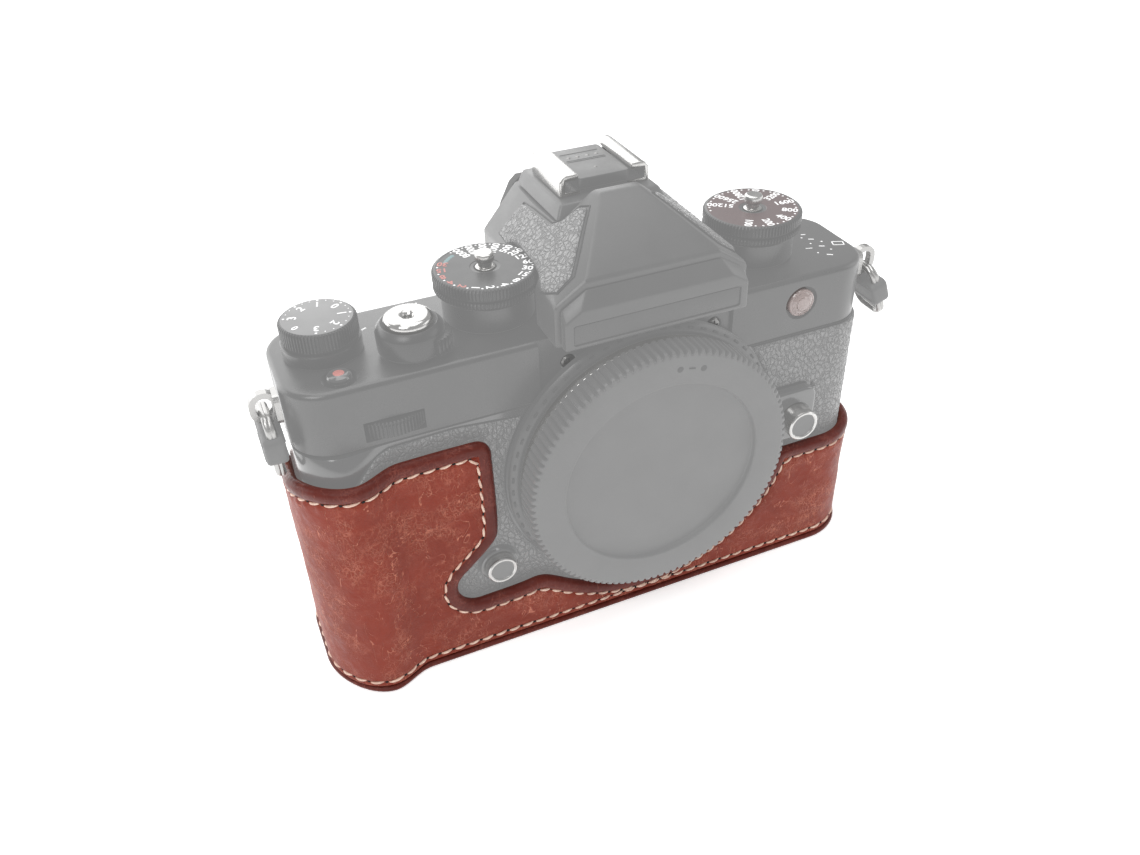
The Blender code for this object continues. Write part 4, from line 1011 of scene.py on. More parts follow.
def build_case_base():
    """The sole: a thin edge that shows under the wall, and a thicker middle inside it."""
    def loop(growth):
        wall = Wall(CASE_CLEARANCE + growth, CASE_END_CLEARANCE + growth, CORNER + CASE_CLEARANCE + growth,
                    step=1.2)
        return [wall.place(wall.length * i / 320, 0.0, 0.0).xy for i in range(320)]

    rim = LEATHER + CASE_WELT
    rows = []
    for growth, z in ((rim - 0.9, 0.0), (rim - 0.4, 0.08), (rim - 0.1, 0.3), (rim, 0.6),
                      (rim - 0.1, CASE_SOLE - 0.25),
                      (rim - 0.4, CASE_SOLE), (-0.6, CASE_SOLE), (-0.6, CASE_BASE)):
        rows.append([(x, y, z) for x, y in loop(growth)])
    base = loft("case_base_leather", rows, LOOKS["leather_edge"], 50)
    hole = lathe("screw_hole", [(0, -2), (6.6, -2), (6.6, 5), (0, 5)], (*CASE_SCREW, 0), None)
    carve(base, hole, smooth_angle=50)
    base.data.materials.clear()
    base.data.materials.append(LOOKS["leather_edge"])
    settle(base, ROOT, "leather", "case_base")


# ---------------------------------------------------------------- the camera body


def shoulder(z):
    """How much of the grip's swell is left at height z: its top is rounded off below the cover."""
    start, reach = 55.5, 9.6
    return 1.0 if z <= start else math.sqrt(max(0.0, 1 - ((z - start) / reach) ** 2))


def skin_point(wall, s, z, lift):
    """A point on the body's wall, which has no grip of its own, with the grip's swell added."""
    spot = wall.place(s, z, lift)
    if spot.y < -5:
        spot.y -= grip_swell(spot.x) * shoulder(z)
    return spot


def body_wall(step=1.0):
    return Wall(0.0, 0.0, CORNER, with_grip=False, step=step)


def build_body():
    wall = body_wall()
    count = 260
    rows = []
    heights = [BODY_BOTTOM, BODY_BOTTOM + 0.6, 30.0, 50.0,
               55.5] + [55.5 + 9.0 * (i / 14) for i in range(1, 15)]
    for z in [*heights, COVER_BOTTOM - SEAM]:
        rows.append([skin_point(wall, wall.length * i / count, z, 0.0) for i in range(count)])
    casting = loft("body_shell", rows, LOOKS["gloss"], 40)
    inner_loop = [(p.x, p.y) for p in Wall(-BODY_WALL, -BODY_WALL, CORNER - BODY_WALL, False,
                                           2.0).points[:-1]]
    hollow = plate("hollow", inner_loop, 0.0, 70.0, None)
    throat = lathe("throat", [(0, 2), (THROAT + 1.5, 2), (THROAT + 1.5, 20), (0, 20)], (LENS_X, 0, LENS_Z),
                   None, "front")
    carve(casting, hollow, throat, smooth_angle=40)
    wells = []
    for x, z, radius, _ in (RELEASE_BUTTON, FUNCTION_BUTTON):
        wells.append(lathe("well", [(0, 8), (radius + 0.3, 8), (radius + 0.3, 24), (0, 24)], (x, 0, z), None,
                           "front"))
    for x, z, radius in ((-37.0, 56.0, 2.4), (-45.5, 36.5, 9.0)):
        wells.append(lathe("well", [(0, 8), (radius + 0.3, 8), (radius + 0.3, 24), (0, 24)], (x, 0, z), None,
                           "back"))
    carve(casting, *wells, smooth_angle=40)
    casting.data.materials.clear()
    casting.data.materials.append(LOOKS["gloss"])
    settle(casting, ROOT, "black_metal", "body_casting")


def pebble(spot, size):
    """Height from 0 to 1 of a rounded pebble pattern of that size."""
    bent = spot / size
    bent += Vector((noise.noise(spot * 0.5), noise.noise(spot * 0.5 + Vector((9, 2, 4))), 0)) * 0.9
    bent.x *= 1.0
    bent.z *= 0.72
    near = noise.voronoi(bent)[0]
    return min(1.0, max(0.0, (near[1] - near[0]) / 0.42)) ** 0.6


def skin_piece(name, loop, place, spacing, thickness, looks, relief, size):
    """A thin sheet over a closed outline in flat coordinates, with a rounded rim and a pebbled face."""
    edge = resampled([*loop, loop[0]], 0.55)[:-1]
    tree = kdtree.KDTree(len(edge) * 4)
    number = 0
    for i, point in enumerate(edge):
        after = edge[(i + 1) % len(edge)]
        for k in range(4):
            spot = point.lerp(after, k / 4)
            tree.insert((spot.x, spot.y, 0.0), number)
            number += 1
    tree.balance()
    points = [Vector(p) for p in edge]
    low = Vector((min(p.x for p in edge), min(p.y for p in edge)))
    high = Vector((max(p.x for p in edge), max(p.y for p in edge)))
    row, v = 0, low.y
    while v < high.y:
        gap = spacing(v)
        u = low.x + gap * 0.5 * (row % 2)
        while u < high.x:
            distance = tree.find((u, v, 0.0))[2]
            if distance > gap * 0.6 and inside_loop(u, v, edge):
                points.append(Vector((u, v)))
            u += gap
        v += gap * 0.88
        row += 1
    edges = [(i, (i + 1) % len(edge)) for i in range(len(edge))]
    flat, _, triangles, *_ = delaunay_2d_cdt(points, edges, [], 1, 0.0005)
    outer, inner = [], []
    for point in flat:
        inset = tree.find((point.x, point.y, 0.0))[2]
        roll = math.sqrt(max(0.0, 1 - ((0.5 - inset) / 0.5) ** 2)) if inset < 0.5 else 1.0
        seat = place(point.x, point.y, 0.0)
        rise = relief * (pebble(seat, size) - 1.0) * min(1.0, inset / 0.8)
        outer.append(place(point.x, point.y, max(0.08, thickness * (0.25 + 0.75 * roll) + rise)))
        inner.append(place(point.x, point.y, 0.0))
    count = len(flat)
    faces, sides = [], set()
    for a, b, c in triangles:
        if (flat[b] - flat[a]).cross(flat[c] - flat[a]) < 0:
            b, c = c, b
        faces += [(a, b, c), (c + count, b + count, a + count)]
        sides |= {(a, b), (b, c), (c, a)}
    for a, b in list(sides):
        if (b, a) not in sides:
            faces.append((b, a, a + count, b + count))
    made = mesh_object(name, outer + inner, faces, looks, 50)
    clean(made)
    return shade(made, 50)


def inside_loop(u, v, loop):
    crossings = 0
    for i in range(len(loop)):
        a, b = loop[i], loop[(i + 1) % len(loop)]
        if (a.x <= u) != (b.x <= u) and a.y + (b.y - a.y) * (u - a.x) / (b.x - a.x) > v:
            crossings += 1
    return crossings % 2 == 1


def build_leatherette():
    wall = body_wall(0.5)
    gap = 0.25

    def on_wall(s, z, lift):
        return skin_point(wall, s, z, lift + gap)

    left, high = wall.end(-8.5, -1), 64.4
    button_x, button_z = FUNCTION_BUTTON[:2]
    middle = wall.front(button_x)
    grip = [(left, 8.0), (middle - 0.15, 8.0)]
    grip += [(wall.front(x), z) for x, z in arc(button_x, button_z, 4.6, 267, -87, 36)]
    grip += [(middle + 0.15, 8.0), (wall.front(-8.0), 8.0)]
    grip += [(wall.front(x), z) for x, z in arc(LENS_X, LENS_Z, BEZEL_RADIUS + 0.5, 242, 148, 30)]
    top = ((-36.0, 64.1), (-41.0, 64.0), (-50.5, 63.7), (-53.5, 62.7), (-56.0, 60.9), (-58.5, 58.6),
           (-61.0, 57.5))
    grip += [(wall.front(x), z) for x, z in top] + [(left, 57.0)]
    panel = skin_piece("leatherette_grip_front", grip, on_wall, lambda z: 0.42 if z > 16 else 0.8, 0.6,
                       LOOKS["leatherette"], 0.17, 1.0)
    settle(panel, ROOT, "leatherette", "leatherette_grip_side")

    start = [(wall.front(x), z) for x, z in arc(LENS_X, LENS_Z, BEZEL_RADIUS + 0.6, 36, 14, 8)]
    notch = [(41.2, 50.8), (51.0, 50.8), (54.9, 49.6), (55.0, 44.0), (55.0, 37.0), (52.0, 34.8), (41.5, 34.8)]
    below = [(wall.front(x), z) for x, z in arc(LENS_X, LENS_Z, BEZEL_RADIUS + 0.6, -17, -40, 8)]
    lens = start + [(wall.front(x), z) for x, z in notch] + below
    far = wall.end(9.5, 1)
    lens += [(wall.front(45.0), 20.0), (wall.front(45.0), 8.0), (far, 8.0), (far, high),
             (wall.front(36.0), high)]
    panel = skin_piece("leatherette_lens_wrap", lens, on_wall, lambda z: 0.42 if z > 31 else 1.4, 0.6,
                       LOOKS["leatherette"], 0.18, 1.0)
    settle(panel, ROOT, "leatherette", "leatherette_lens_side")


def build_cover():
    wall = body_wall(1.0)
    loop = [(p.x, p.y) for p in wall.points[:-1]]
    rows = []
    rim, steps = 1.3, 6
    lower = 0.25
    for height, inset in ((COVER_BOTTOM, lower), (COVER_BOTTOM + lower, 0.0)):
        rows.append([(x, y, height) for x, y in shrunk(loop, inset)])
    for i in range(steps + 1):
        turn = math.radians(90 * i / steps)
        rows.append([(x, y, COVER_TOP - rim * (1 - math.sin(turn)))
                     for x, y in shrunk(loop, rim * (1 - math.cos(turn)))])
    cover = loft("top_cover_shell", rows, LOOKS["cover"], 30)
    cutters = [plate("front_step", [(-16.4, 50), (30.6, 50), (30.6, 90), (-16.4, 90)], 15.1, 25.0, None,
                     axis="front")]
    x, z, radius = LAMP
    cutters.append(lathe("lamp_seat", [(0, 10), (radius + 0.5, 10), (radius + 0.5, 15.5), (radius + 0.9,
                                                                                           16.2),
                                       (radius + 0.9, 20), (0, 20)], (x, 0, z), None, "front"))
    for x in FRONT_SCREWS:
        cutters.append(lathe("screw_seat", [(0, 13.8), (2.0, 13.8), (2.0, 20), (0, 20)],
                             (x, 0, FRONT_SCREW_Z), None, "front",
                             steps=32))
    x, y, radius = MOVIE_BUTTON
    cutters.append(lathe("movie_well", [(0, 78.3), (radius + 0.8, 78.3), (radius + 1.0, 79.3), (radius + 1.5,
                                                                                                80.5),
                                        (0, 80.5)], (x, y, 0), None, steps=48))
    x, y, radius = SHUTTER_BUTTON
    cutters.append(lathe("release_well", [(0, 75), (4.4, 75), (4.4, 82), (0, 82)], (x, y, 0), None, steps=32))
    for x, y, radius in (FRONT_WHEEL, REAR_WHEEL):
        cutters.append(lathe("wheel_slot", [(0, WHEEL_LOW - 0.5), (radius + 0.5, WHEEL_LOW - 0.5),
                                            (radius + 0.5, WHEEL_HIGH + 0.5), (0, WHEEL_HIGH + 0.5)],
                             (x, y, 0), None, steps=72))
    cutters.append(lathe("throat", [(0, 2), (THROAT + 1.5, 2), (THROAT + 1.5, 20), (0, 20)],
                         (LENS_X, 0, LENS_Z),
                         None, "front"))
    cutters.append(lathe("playback_well", [(0, 8), (2.5, 8), (2.5, 20), (0, 20)],
                         (PLAYBACK_BUTTON[0], 0, PLAYBACK_BUTTON[1]), None, "back",
                         steps=32))
    carve(cover, *cutters, smooth_angle=30)
    cover.data.materials.clear()
    cover.data.materials.append(LOOKS["cover"])
    settle(cover, ROOT, "black_metal", "top_cover")

    x, z, radius = LAMP
    lens = lathe("assist_lamp_glass",
                 [(0, 12.5), (radius, 12.5), (radius, 15.9), (radius - 0.15, 16.15), (2.9, 16.35),
                  (2.75, 16.3),
                  (2.6, 16.45), (1.9, 16.75), (1.75, 16.7), (1.6, 16.85), (0.8, 17.0), (0, 17.05)],
                 (x, 0, z), LOOKS["lamp"], "front", steps=64)
    settle(lens, ROOT, "clear", "assist_lamp")
    for side, x in zip(("left", "right"), FRONT_SCREWS):
        screw = lathe(f"front_screw_head_{side}",
                      [(0, 14.1), (1.7, 14.1), (1.7, 14.9), (1.35, 15.25), (0.6, 15.4),
                                                   (0, 15.4)], (x, 0, FRONT_SCREW_Z), None, "front", steps=40)
        slots = [plate("slot", rounded_box(x - 1.1, x + 1.1, FRONT_SCREW_Z - 0.22, FRONT_SCREW_Z + 0.22, 0.1,
                                           2), 14.8, 17, None,
                       axis="front"),
                 plate("slot", rounded_box(x - 0.22, x + 0.22, FRONT_SCREW_Z - 1.1, FRONT_SCREW_Z + 1.1, 0.1,
                                           2), 14.8, 17, None,
                       axis="front")]
        carve(screw, *slots, smooth_angle=30)
        screw.data.materials.clear()
        screw.data.materials.append(LOOKS["dark_metal"])
        settle(screw, ROOT, "dark_metal", f"front_screw_{side}")


# ---------------------------------------------------------------- the finder hump


HUMP_FRONT, HUMP_BACK, HUMP_HALF, HUMP_BACK_HALF = -20.5, 24.0, 22.3, 21.6
HUMP_SHOULDER_FRONT, HUMP_SHOULDER_BACK, HUMP_LIP_HALF, HUMP_LIP = 89.5, 88.0, 15.5, 94.0
HUMP_PEAK_HALF, HUMP_PEAK_Y, HUMP_PEAK, HUMP_BACK_TOP_HALF, HUMP_BACK_TOP = 4.6, -4.0, 104.2, 10.5, 101.0
NOSE_FRONT = -23.2


def pair(half, y, z):
    return [(LENS_X - half, y, z), (LENS_X + half, y, z)]


def build_hump():
    low = COVER_TOP + SEAM
    points = pair(HUMP_HALF, HUMP_FRONT, low) + pair(HUMP_BACK_HALF, HUMP_BACK, low)
    points += pair(HUMP_HALF, HUMP_FRONT, HUMP_SHOULDER_FRONT) + pair(HUMP_LIP_HALF, HUMP_FRONT, HUMP_LIP)
    points += pair(HUMP_PEAK_HALF, HUMP_PEAK_Y, HUMP_PEAK)
    points += pair(HUMP_BACK_HALF, HUMP_BACK, HUMP_SHOULDER_BACK) + pair(HUMP_BACK_TOP_HALF, HUMP_BACK,
                                                                         HUMP_BACK_TOP)
    housing = convex("finder_housing", points, LOOKS["hump"])
    bevel(housing, 0.7, 3, 12, smooth_angle=30)
    x, y, radius = SHUTTER_DIAL
    notch = lathe("dial_notch", [(0, 70), (radius + 1.3, 70), (radius + 1.3, 120), (0, 120)], (x, y, 0), None,
                  steps=128)
    seat = plate("shoe_seat", rounded_box(LENS_X - 40, LENS_X + 40, -1.6, 40, 0.5, 2), 97.7, 120, None)
    window = plate("window", rounded_box(LENS_X - 9.5, LENS_X + 9.5, 83.5, 94.9, 1.6, 4), -40, -15, None,
                   axis="front")
    carve(housing, notch, seat, window, smooth_angle=25)
    housing.data.materials.clear()
    housing.data.materials.append(LOOKS["hump"])
    settle(housing, ROOT, "black_metal", "viewfinder_housing")

    nose = convex("nose_front", pair(21.2, NOSE_FRONT, 80.4) + pair(21.2, HUMP_FRONT - SEAM, 80.4)
                  + pair(21.2, NOSE_FRONT, 86.6) + pair(21.2, HUMP_FRONT - SEAM, 89.0)
                  + pair(17.4, NOSE_FRONT, 89.0) + pair(15.4, HUMP_FRONT - SEAM, 92.6), LOOKS["hump"])
    bevel(nose, 0.45, 3, 12, smooth_angle=30)
    inset = plate("inset", rounded_box(LENS_X - 19.4, LENS_X + 19.4, 81.3, 86.1, 0.6, 4), -NOSE_FRONT - 0.35,
                  30.0, None,
                  axis="front")
    carve(nose, inset, smooth_angle=30)
    nose.data.materials.clear()
    nose.data.materials.append(LOOKS["hump"])
    settle(nose, ROOT, "black_metal", "nose_panel")
    panel = plate("nose_inset_panel", rounded_box(LENS_X - 19.1, LENS_X + 19.1, 81.6, 85.8, 0.5, 4),
                  -NOSE_FRONT - 0.34, -NOSE_FRONT - 0.2, LOOKS["nose_dark"], edge=0.06, axis="front")
    settle(panel, ROOT, "black_metal")

    for side, name in ((-1, "left"), (1, "right")):
        build_hump_inlay(name, side)


def side_half(y, z):
    """Half width of the hump's sloping side at a depth and height."""
    a = Vector((HUMP_HALF, HUMP_FRONT, HUMP_SHOULDER_FRONT))
    b = Vector((HUMP_LIP_HALF, HUMP_FRONT, HUMP_LIP))
    c = Vector((HUMP_PEAK_HALF, HUMP_PEAK_Y, HUMP_PEAK))
    d = Vector((HUMP_BACK_HALF, HUMP_BACK, HUMP_SHOULDER_BACK))
    e = Vector((HUMP_BACK_TOP_HALF, HUMP_BACK, HUMP_BACK_TOP))
    halves = []
    for p, q, r in ((a, b, c), (a, c, e), (a, e, d)):
        normal = (q - p).cross(r - p)
        halves.append(p.x - (normal.y * (y - p.y) + normal.z * (z - p.z)) / normal.x)
    return min(halves)


def build_hump_inlay(name, side):
    """The pebbled inlay on one sloping side, with a near-black line of painted shade round it for the gap."""
    loop = [(-17.6, 91.4), (-14.5, 90.2), (-12.8, 89.9), (-11.6, 90.5), (-8.0, 91.5), (-4.0, 91.9),
            (4.0, 91.8),
            (8.0, 91.2), (10.0, 90.2), (15.5, 90.2), (14.0, 96.6), (9.0, 97.1), (0.2, 97.2), (-2.0, 98.6),
            (-2.9, 101.2), (-4.9, 101.9), (-8.5, 99.6), (-12.5, 97.0), (-17.2, 93.8)]

    def on_side(y, z, lift):
        half = side_half(y, z) + 0.42
        slope = Vector((1.0, 0.0, 1.15)).normalized() * lift
        return Vector((LENS_X + side * (half + slope.x), y, z + slope.z))

    # The inlay takes the lighter copy of the leatherette, painted light.
    inlay = skin_piece(f"finder_inlay_{name}", loop, on_side, lambda z: 0.4, 0.5, LOOKS["leatherette_painted_lit"],
                       0.17, 1.0)
    settle(inlay, ROOT, "leatherette", f"hump_leatherette_{name}")
    # Painted shade: a near-black rod along the inlay's edge stands for the shade in the gap.
    outline = []
    for y, z in shrunk(loop, -0.28):
        half = side_half(y, z) + 0.14
        outline.append((LENS_X + side * half, y, z))
    rim = gather(f"finder_inlay_gap_shade_{name}", [(*tube_path(outline, 0.2, 6, cyclic=True), 0)],
                 [LOOKS["shade_and_mark_black"]])
    settle(rim, ROOT, "leatherette")


# ---------------------------------------------------------------- the hot shoe


SHOE_FRONT, SHOE_BACK, SHOE_TOP, SHOE_FLOOR = 3.0, 21.0, 106.0, 101.4
SHOE_HALF, SHOE_SLOT_HALF, RAIL = 10.6, 6.25, 1.3


def build_shoe():
    # The plinth takes the lighter copy of the cover paint, painted light.
    base = convex("shoe_plinth", pair(11.6, 0.4, SHOE_FLOOR - SEAM) + pair(11.6, 22.5, SHOE_FLOOR - SEAM)
                  + pair(13.2, -1.2, 98.0) + pair(13.2, 22.5, 98.0), LOOKS["cover_painted_lit"])
    bevel(base, 0.6, 3, 20, smooth_angle=30)
    settle(base, ROOT, "black_metal", "shoe_base")

    shapes = []
    for side in (-1, 1):
        inner, outer = SHOE_SLOT_HALF, SHOE_HALF
        section = [(outer, SHOE_FLOOR), (outer, SHOE_TOP - 1.5), (outer - 0.9, SHOE_TOP - 0.35),
                   (outer - 1.5, SHOE_TOP), (inner + 0.2, SHOE_TOP), (inner, SHOE_TOP - 0.25),
                   (inner, SHOE_TOP - RAIL), (outer - RAIL, SHOE_TOP - RAIL),
                   (outer - RAIL, SHOE_FLOOR + 0.8),
                   (inner - 0.4, SHOE_FLOOR + 0.8), (inner - 0.4, SHOE_FLOOR)]
        rows = []
        for y, pull in ((SHOE_FRONT, 0.35), (SHOE_FRONT + 0.3, 0.0), (SHOE_BACK - 2.2, 0.0),
                        (SHOE_BACK - 1.0, 0.35),
                        (SHOE_BACK - 0.3, 1.0), (SHOE_BACK, 1.9)):
            rows.append([(LENS_X + side * min(x, outer - pull), y, z) for x, z in section])
        rail = loft("rail", rows, None)
        bevel(rail, 0.18, 2, 30)
        mesh = rail.data
        verts = [v.co / MM for v in mesh.vertices]
        faces = [tuple(p.vertices) for p in mesh.polygons]
        shapes.append((verts, faces, 0))
        bpy.data.objects.remove(rail, do_unlink=True)
    rails = gather("shoe_rails", shapes, [LOOKS["chrome"]], 35)
    settle(rails, ROOT, "bright_metal", "hot_shoe")

    # Painted shade: thin dark sheets over the inside faces of the chrome rails stand for the shade in the
    # channel.
    low, high = SHOE_FLOOR + 0.8, SHOE_TOP - RAIL
    wall = SHOE_HALF - RAIL
    shapes = []
    slabs = [(-wall + 0.02, wall - 0.02, low + 0.01, low + 0.12)]
    for side in (-1, 1):
        slabs.append((*sorted((side * (wall - 0.12), side * (wall - 0.01))), low + 0.05, high - 0.01))
        slabs.append((*sorted((side * (SHOE_SLOT_HALF + 0.1), side * (wall - 0.01))), high - 0.12,
                      high - 0.01))
    for left, right, below, above in slabs:
        slab = plate("shade_sheet", rounded_box(LENS_X + left, LENS_X + right, below, above, 0.02, 2),
                     -SHOE_BACK + 2.4,
                     -SHOE_FRONT - 0.15, None, axis="front")
        shapes.append(taken(slab))
    settle(gather("shoe_channel_painted_shade", shapes, [LOOKS["cover"]]), ROOT, "dark_metal")

    top = SHOE_TOP - 1.35
    floor = plate("shoe_contact_bed", rounded_box(LENS_X - 6.1, LENS_X + 6.1, SHOE_FRONT + 0.4,
                                                  SHOE_BACK - 0.6, 1.0, 5),
                  SHOE_FLOOR + 0.95, top, LOOKS["plastic"], edge=0.2)
    settle(floor, ROOT, "dark_metal", "shoe_contact_plate")
    shapes = []
    for x, y, radius in ((0.0, 8.0, 0.42), (-3.4, 15.0, 0.55), (-1.2, 15.0, 0.55), (1.2, 15.0, 0.55),
                         (3.4, 15.0, 0.55)):
        shapes.append((*disc((LENS_X + x, y, top - 0.02), (0, 0, 1), radius, 0.12, 24), 0))
    contacts = gather("shoe_contacts", shapes, [LOOKS["dark_metal"]])
    settle(contacts, ROOT, "bright_metal")
    lines = []
    for y in (12.6, 13.3, 17.2):
        lines.append((*tube_path([(LENS_X - 4.6, y, top), (LENS_X + 4.6, y, top)], 0.09, 6), 0))
    marks = gather("shoe_contact_lines", lines, [LOOKS["shade_and_mark_black"]])
    settle(marks, ROOT, "dark_metal")


# ---------------------------------------------------------------- marks


def lettering(name, marks, looks, body, slot):
    """Raised painted numerals; a mark is (text, height, centre, reading direction, up side, look)."""
    shapes = []
    for text, size, centre, reads, up, index in marks:
        curve = bpy.data.curves.new("mark", "FONT")
        curve.body = text
        curve.size = size * 1.38
        curve.extrude = 0.03
        curve.offset = 0.055
        curve.align_x = "CENTER"
        curve.align_y = "CENTER"
        curve.resolution_u = 3
        guide = bpy.data.objects.new("mark", curve)
        bpy.context.scene.collection.objects.link(guide)
        graph = bpy.context.evaluated_depsgraph_get()
        mesh = bpy.data.meshes.new_from_object(guide.evaluated_get(graph))
        reads, up = Vector(reads).normalized(), Vector(up).normalized()
        out = reads.cross(up)
        verts = [Vector(centre) + reads * v.co.x + up * v.co.y + out * v.co.z for v in mesh.vertices]
        shapes.append((verts, [tuple(p.vertices) for p in mesh.polygons], index))
        bpy.data.objects.remove(guide, do_unlink=True)
        bpy.data.meshes.remove(mesh)
    made = gather(name, shapes, looks, 30)
    return settle(made, body, slot)


def round_the_dial(dial, top, degrees, radius):
    x, y, _ = dial
    angle = math.radians(degrees)
    out = Vector((math.cos(angle), math.sin(angle), 0.0))
    return Vector((x, y, top)) + out * radius, out


def dots(name, dial, top, places, looks, body, slot):
    """Small painted dots on a dial's face: each place is (degrees, radius, dot radius, look number)."""
    shapes = []
    for degrees, radius, size, index in places:
        centre, _ = round_the_dial(dial, top, degrees, radius)
        shapes.append((*disc(centre, (0, 0, 1), size, 0.03, 16), index))
    return settle(gather(name, shapes, looks), body, slot)


# ---------------------------------------------------------------- the dials


def build_big_dial(name, dial, face, lever, lever_degrees):
    x, y, radius = dial
    low = LEVER_HIGH + SEAM
    hole = LOCK_RADIUS + SEAM
    profile = [
        (0, low), (radius - 1.2, low), (radius - 0.3, low + 0.12, 0.2), (radius, low + 0.4, 0.42),
        (radius, low + 1.05, 0.42), (radius - 0.25, low + 1.3, 0.25), (radius - 0.9, low + 1.42),
        (radius - 1.0, low + 1.85), (radius - 0.3, low + 1.98, 0.2), (radius, low + 2.25, 0.42),
        (radius, DIAL_TOP - 0.55, 0.42), (radius - 0.25, DIAL_TOP - 0.22, 0.2),
        (radius - 0.62, DIAL_TOP - 0.04),
        (radius - 0.9, DIAL_TOP), (radius - 0.95, DIAL_TOP - 0.08), (hole + 0.9, DIAL_TOP - 0.08),
        (hole + 0.75, DIAL_TOP - 0.2), (hole + 0.1, DIAL_TOP - 0.26), (hole, DIAL_TOP - 0.4),
        (hole, DIAL_TOP - 3.9),
        (0, DIAL_TOP - 3.9)]
    made = lathe(f"{name}_knurled", profile, (x, y, 0), [LOOKS["knurl"], LOOKS[face]], teeth=92, sharp=24,
                 face_look=lambda ring: 1 if 14 <= ring <= 15 else 0)
    settle(made, name, "black_metal", name)

    pin = lathe(f"{name}_pin",
                [(0, DIAL_TOP - 2), (LOCK_RADIUS, DIAL_TOP - 2), (LOCK_RADIUS, DIAL_TOP - 0.12),
                 (LOCK_RADIUS - 0.2, DIAL_TOP + 0.02), (LOCK_RADIUS - 0.6, DIAL_TOP + 0.1),
                 (LOCK_RADIUS - 0.65, DIAL_TOP + 1.0), (LOCK_RADIUS - 0.5, DIAL_TOP + 1.15),
                 (LOCK_RADIUS - 0.1, DIAL_TOP + 1.35), (LOCK_RADIUS, DIAL_TOP + 1.6),
                 (LOCK_RADIUS, LOCK_TOP - 0.5),
                 (LOCK_RADIUS - 0.15, LOCK_TOP - 0.18), (LOCK_RADIUS - 0.45, LOCK_TOP - 0.02),
                 (LOCK_RADIUS - 0.75, LOCK_TOP), (0, LOCK_TOP - 0.06)],
                (x, y, 0), LOOKS["chrome"], steps=64)
    settle(pin, f"{name}_lock", "bright_metal", f"{name}_lock")

    base_low, base = COVER_TOP + SEAM, radius - 1.4
    shapes = []
    ring = lathe("ring", [(4.0, base_low), (base - 0.3, base_low), (base, base_low + 0.3), (base,
                                                                                            LEVER_HIGH - 0.6),
                          (base - 0.4, LEVER_HIGH - 0.1), (base - 0.8, LEVER_HIGH), (4.0, LEVER_HIGH)],
                 (x, y, 0), None, steps=128, closed=True)
    turn = math.radians(lever_degrees)
    ahead, across = Vector((math.cos(turn), math.sin(turn), 0)), Vector((-math.sin(turn), math.cos(turn), 0))
    tip = convex("tip", [Vector((x, y, z)) + ahead * out + across * side
                         for out in (radius - 2.5, radius + 2.2) for side in (-1.4, 1.4)
                         for z in (base_low + 1.2, base_low + 3.4)], None)
    bevel(tip, 0.45, 3, 30)
    for item in (ring, tip):
        verts = [v.co / MM for v in item.data.vertices]
        shapes.append((verts, [tuple(p.vertices) for p in item.data.polygons], 0))
        bpy.data.objects.remove(item, do_unlink=True)
    made = gather(f"{lever}_ring", shapes, [LOOKS["cover"]], 30)
    settle(made, lever, "black_metal", lever)


def build_dials():
    build_big_dial("shutter_dial", SHUTTER_DIAL, "dial_face", "photo_video_lever", 84)
    build_big_dial("iso_dial", ISO_DIAL, "iso_face", "mode_lever", 109)
    top = DIAL_TOP - 0.07
    marks, points = [], []
    step = 17.7
    speeds = ("4", "8", "15", "30", "60", "125", "250", "500", "1000", "2000", "4000", "8000")
    for number, text in enumerate(speeds):
        degrees = -86 + step * number
        reach = 10.2 - 0.52 * len(text)
        centre, out = round_the_dial(SHUTTER_DIAL, top, degrees, reach)
        marks.append((text, 1.75, centre, out, Vector((-out.y, out.x, 0)), 0))
    for number, text in enumerate(("2", "1", "2", "4", "8", "15", "30")):
        degrees = -86 - step * (number + 1)
        centre, out = round_the_dial(SHUTTER_DIAL, top, degrees, 10.2 - 0.52 * len(text))
        marks.append((text, 1.75, centre, out, Vector((-out.y, out.x, 0)), 0 if number < 2 else 1))
    for number in range(5):
        points.append((124 + 5.2 * number, 8.8, 0.5, 2))
    for number in range(19):
        points.append((-86 - 7 * step + step * number + step / 2, 10.1, 0.24, 0))
    inks = [LOOKS["white"], LOOKS["red"], LOOKS["teal"]]
    lettering("shutter_dial_numerals", marks, inks, "shutter_dial", "black_metal")
    dots("shutter_dial_dots", SHUTTER_DIAL, top, points, inks, "shutter_dial", "black_metal")

    marks, points = [], []
    speeds = ("100", "200", "400", "800", "1600", "3200", "6400", "12800", "25600", "51200")
    for number, text in enumerate(speeds):
        degrees = -128 + 30.2 * number
        reach = 10.1 - 0.54 * len(text)
        centre, out = round_the_dial(ISO_DIAL, top, degrees, reach)
        marks.append((text, 1.8, centre, out, Vector((-out.y, out.x, 0)), 0))
        points.append((degrees + 10.1, 9.9, 0.26, 0))
        points.append((degrees + 20.1, 9.9, 0.26, 0))
    lettering("iso_dial_numerals", marks, inks, "iso_dial", "black_metal")
    dots("iso_dial_dots", ISO_DIAL, top, points, inks, "iso_dial", "black_metal")
    build_exposure_dial(inks)


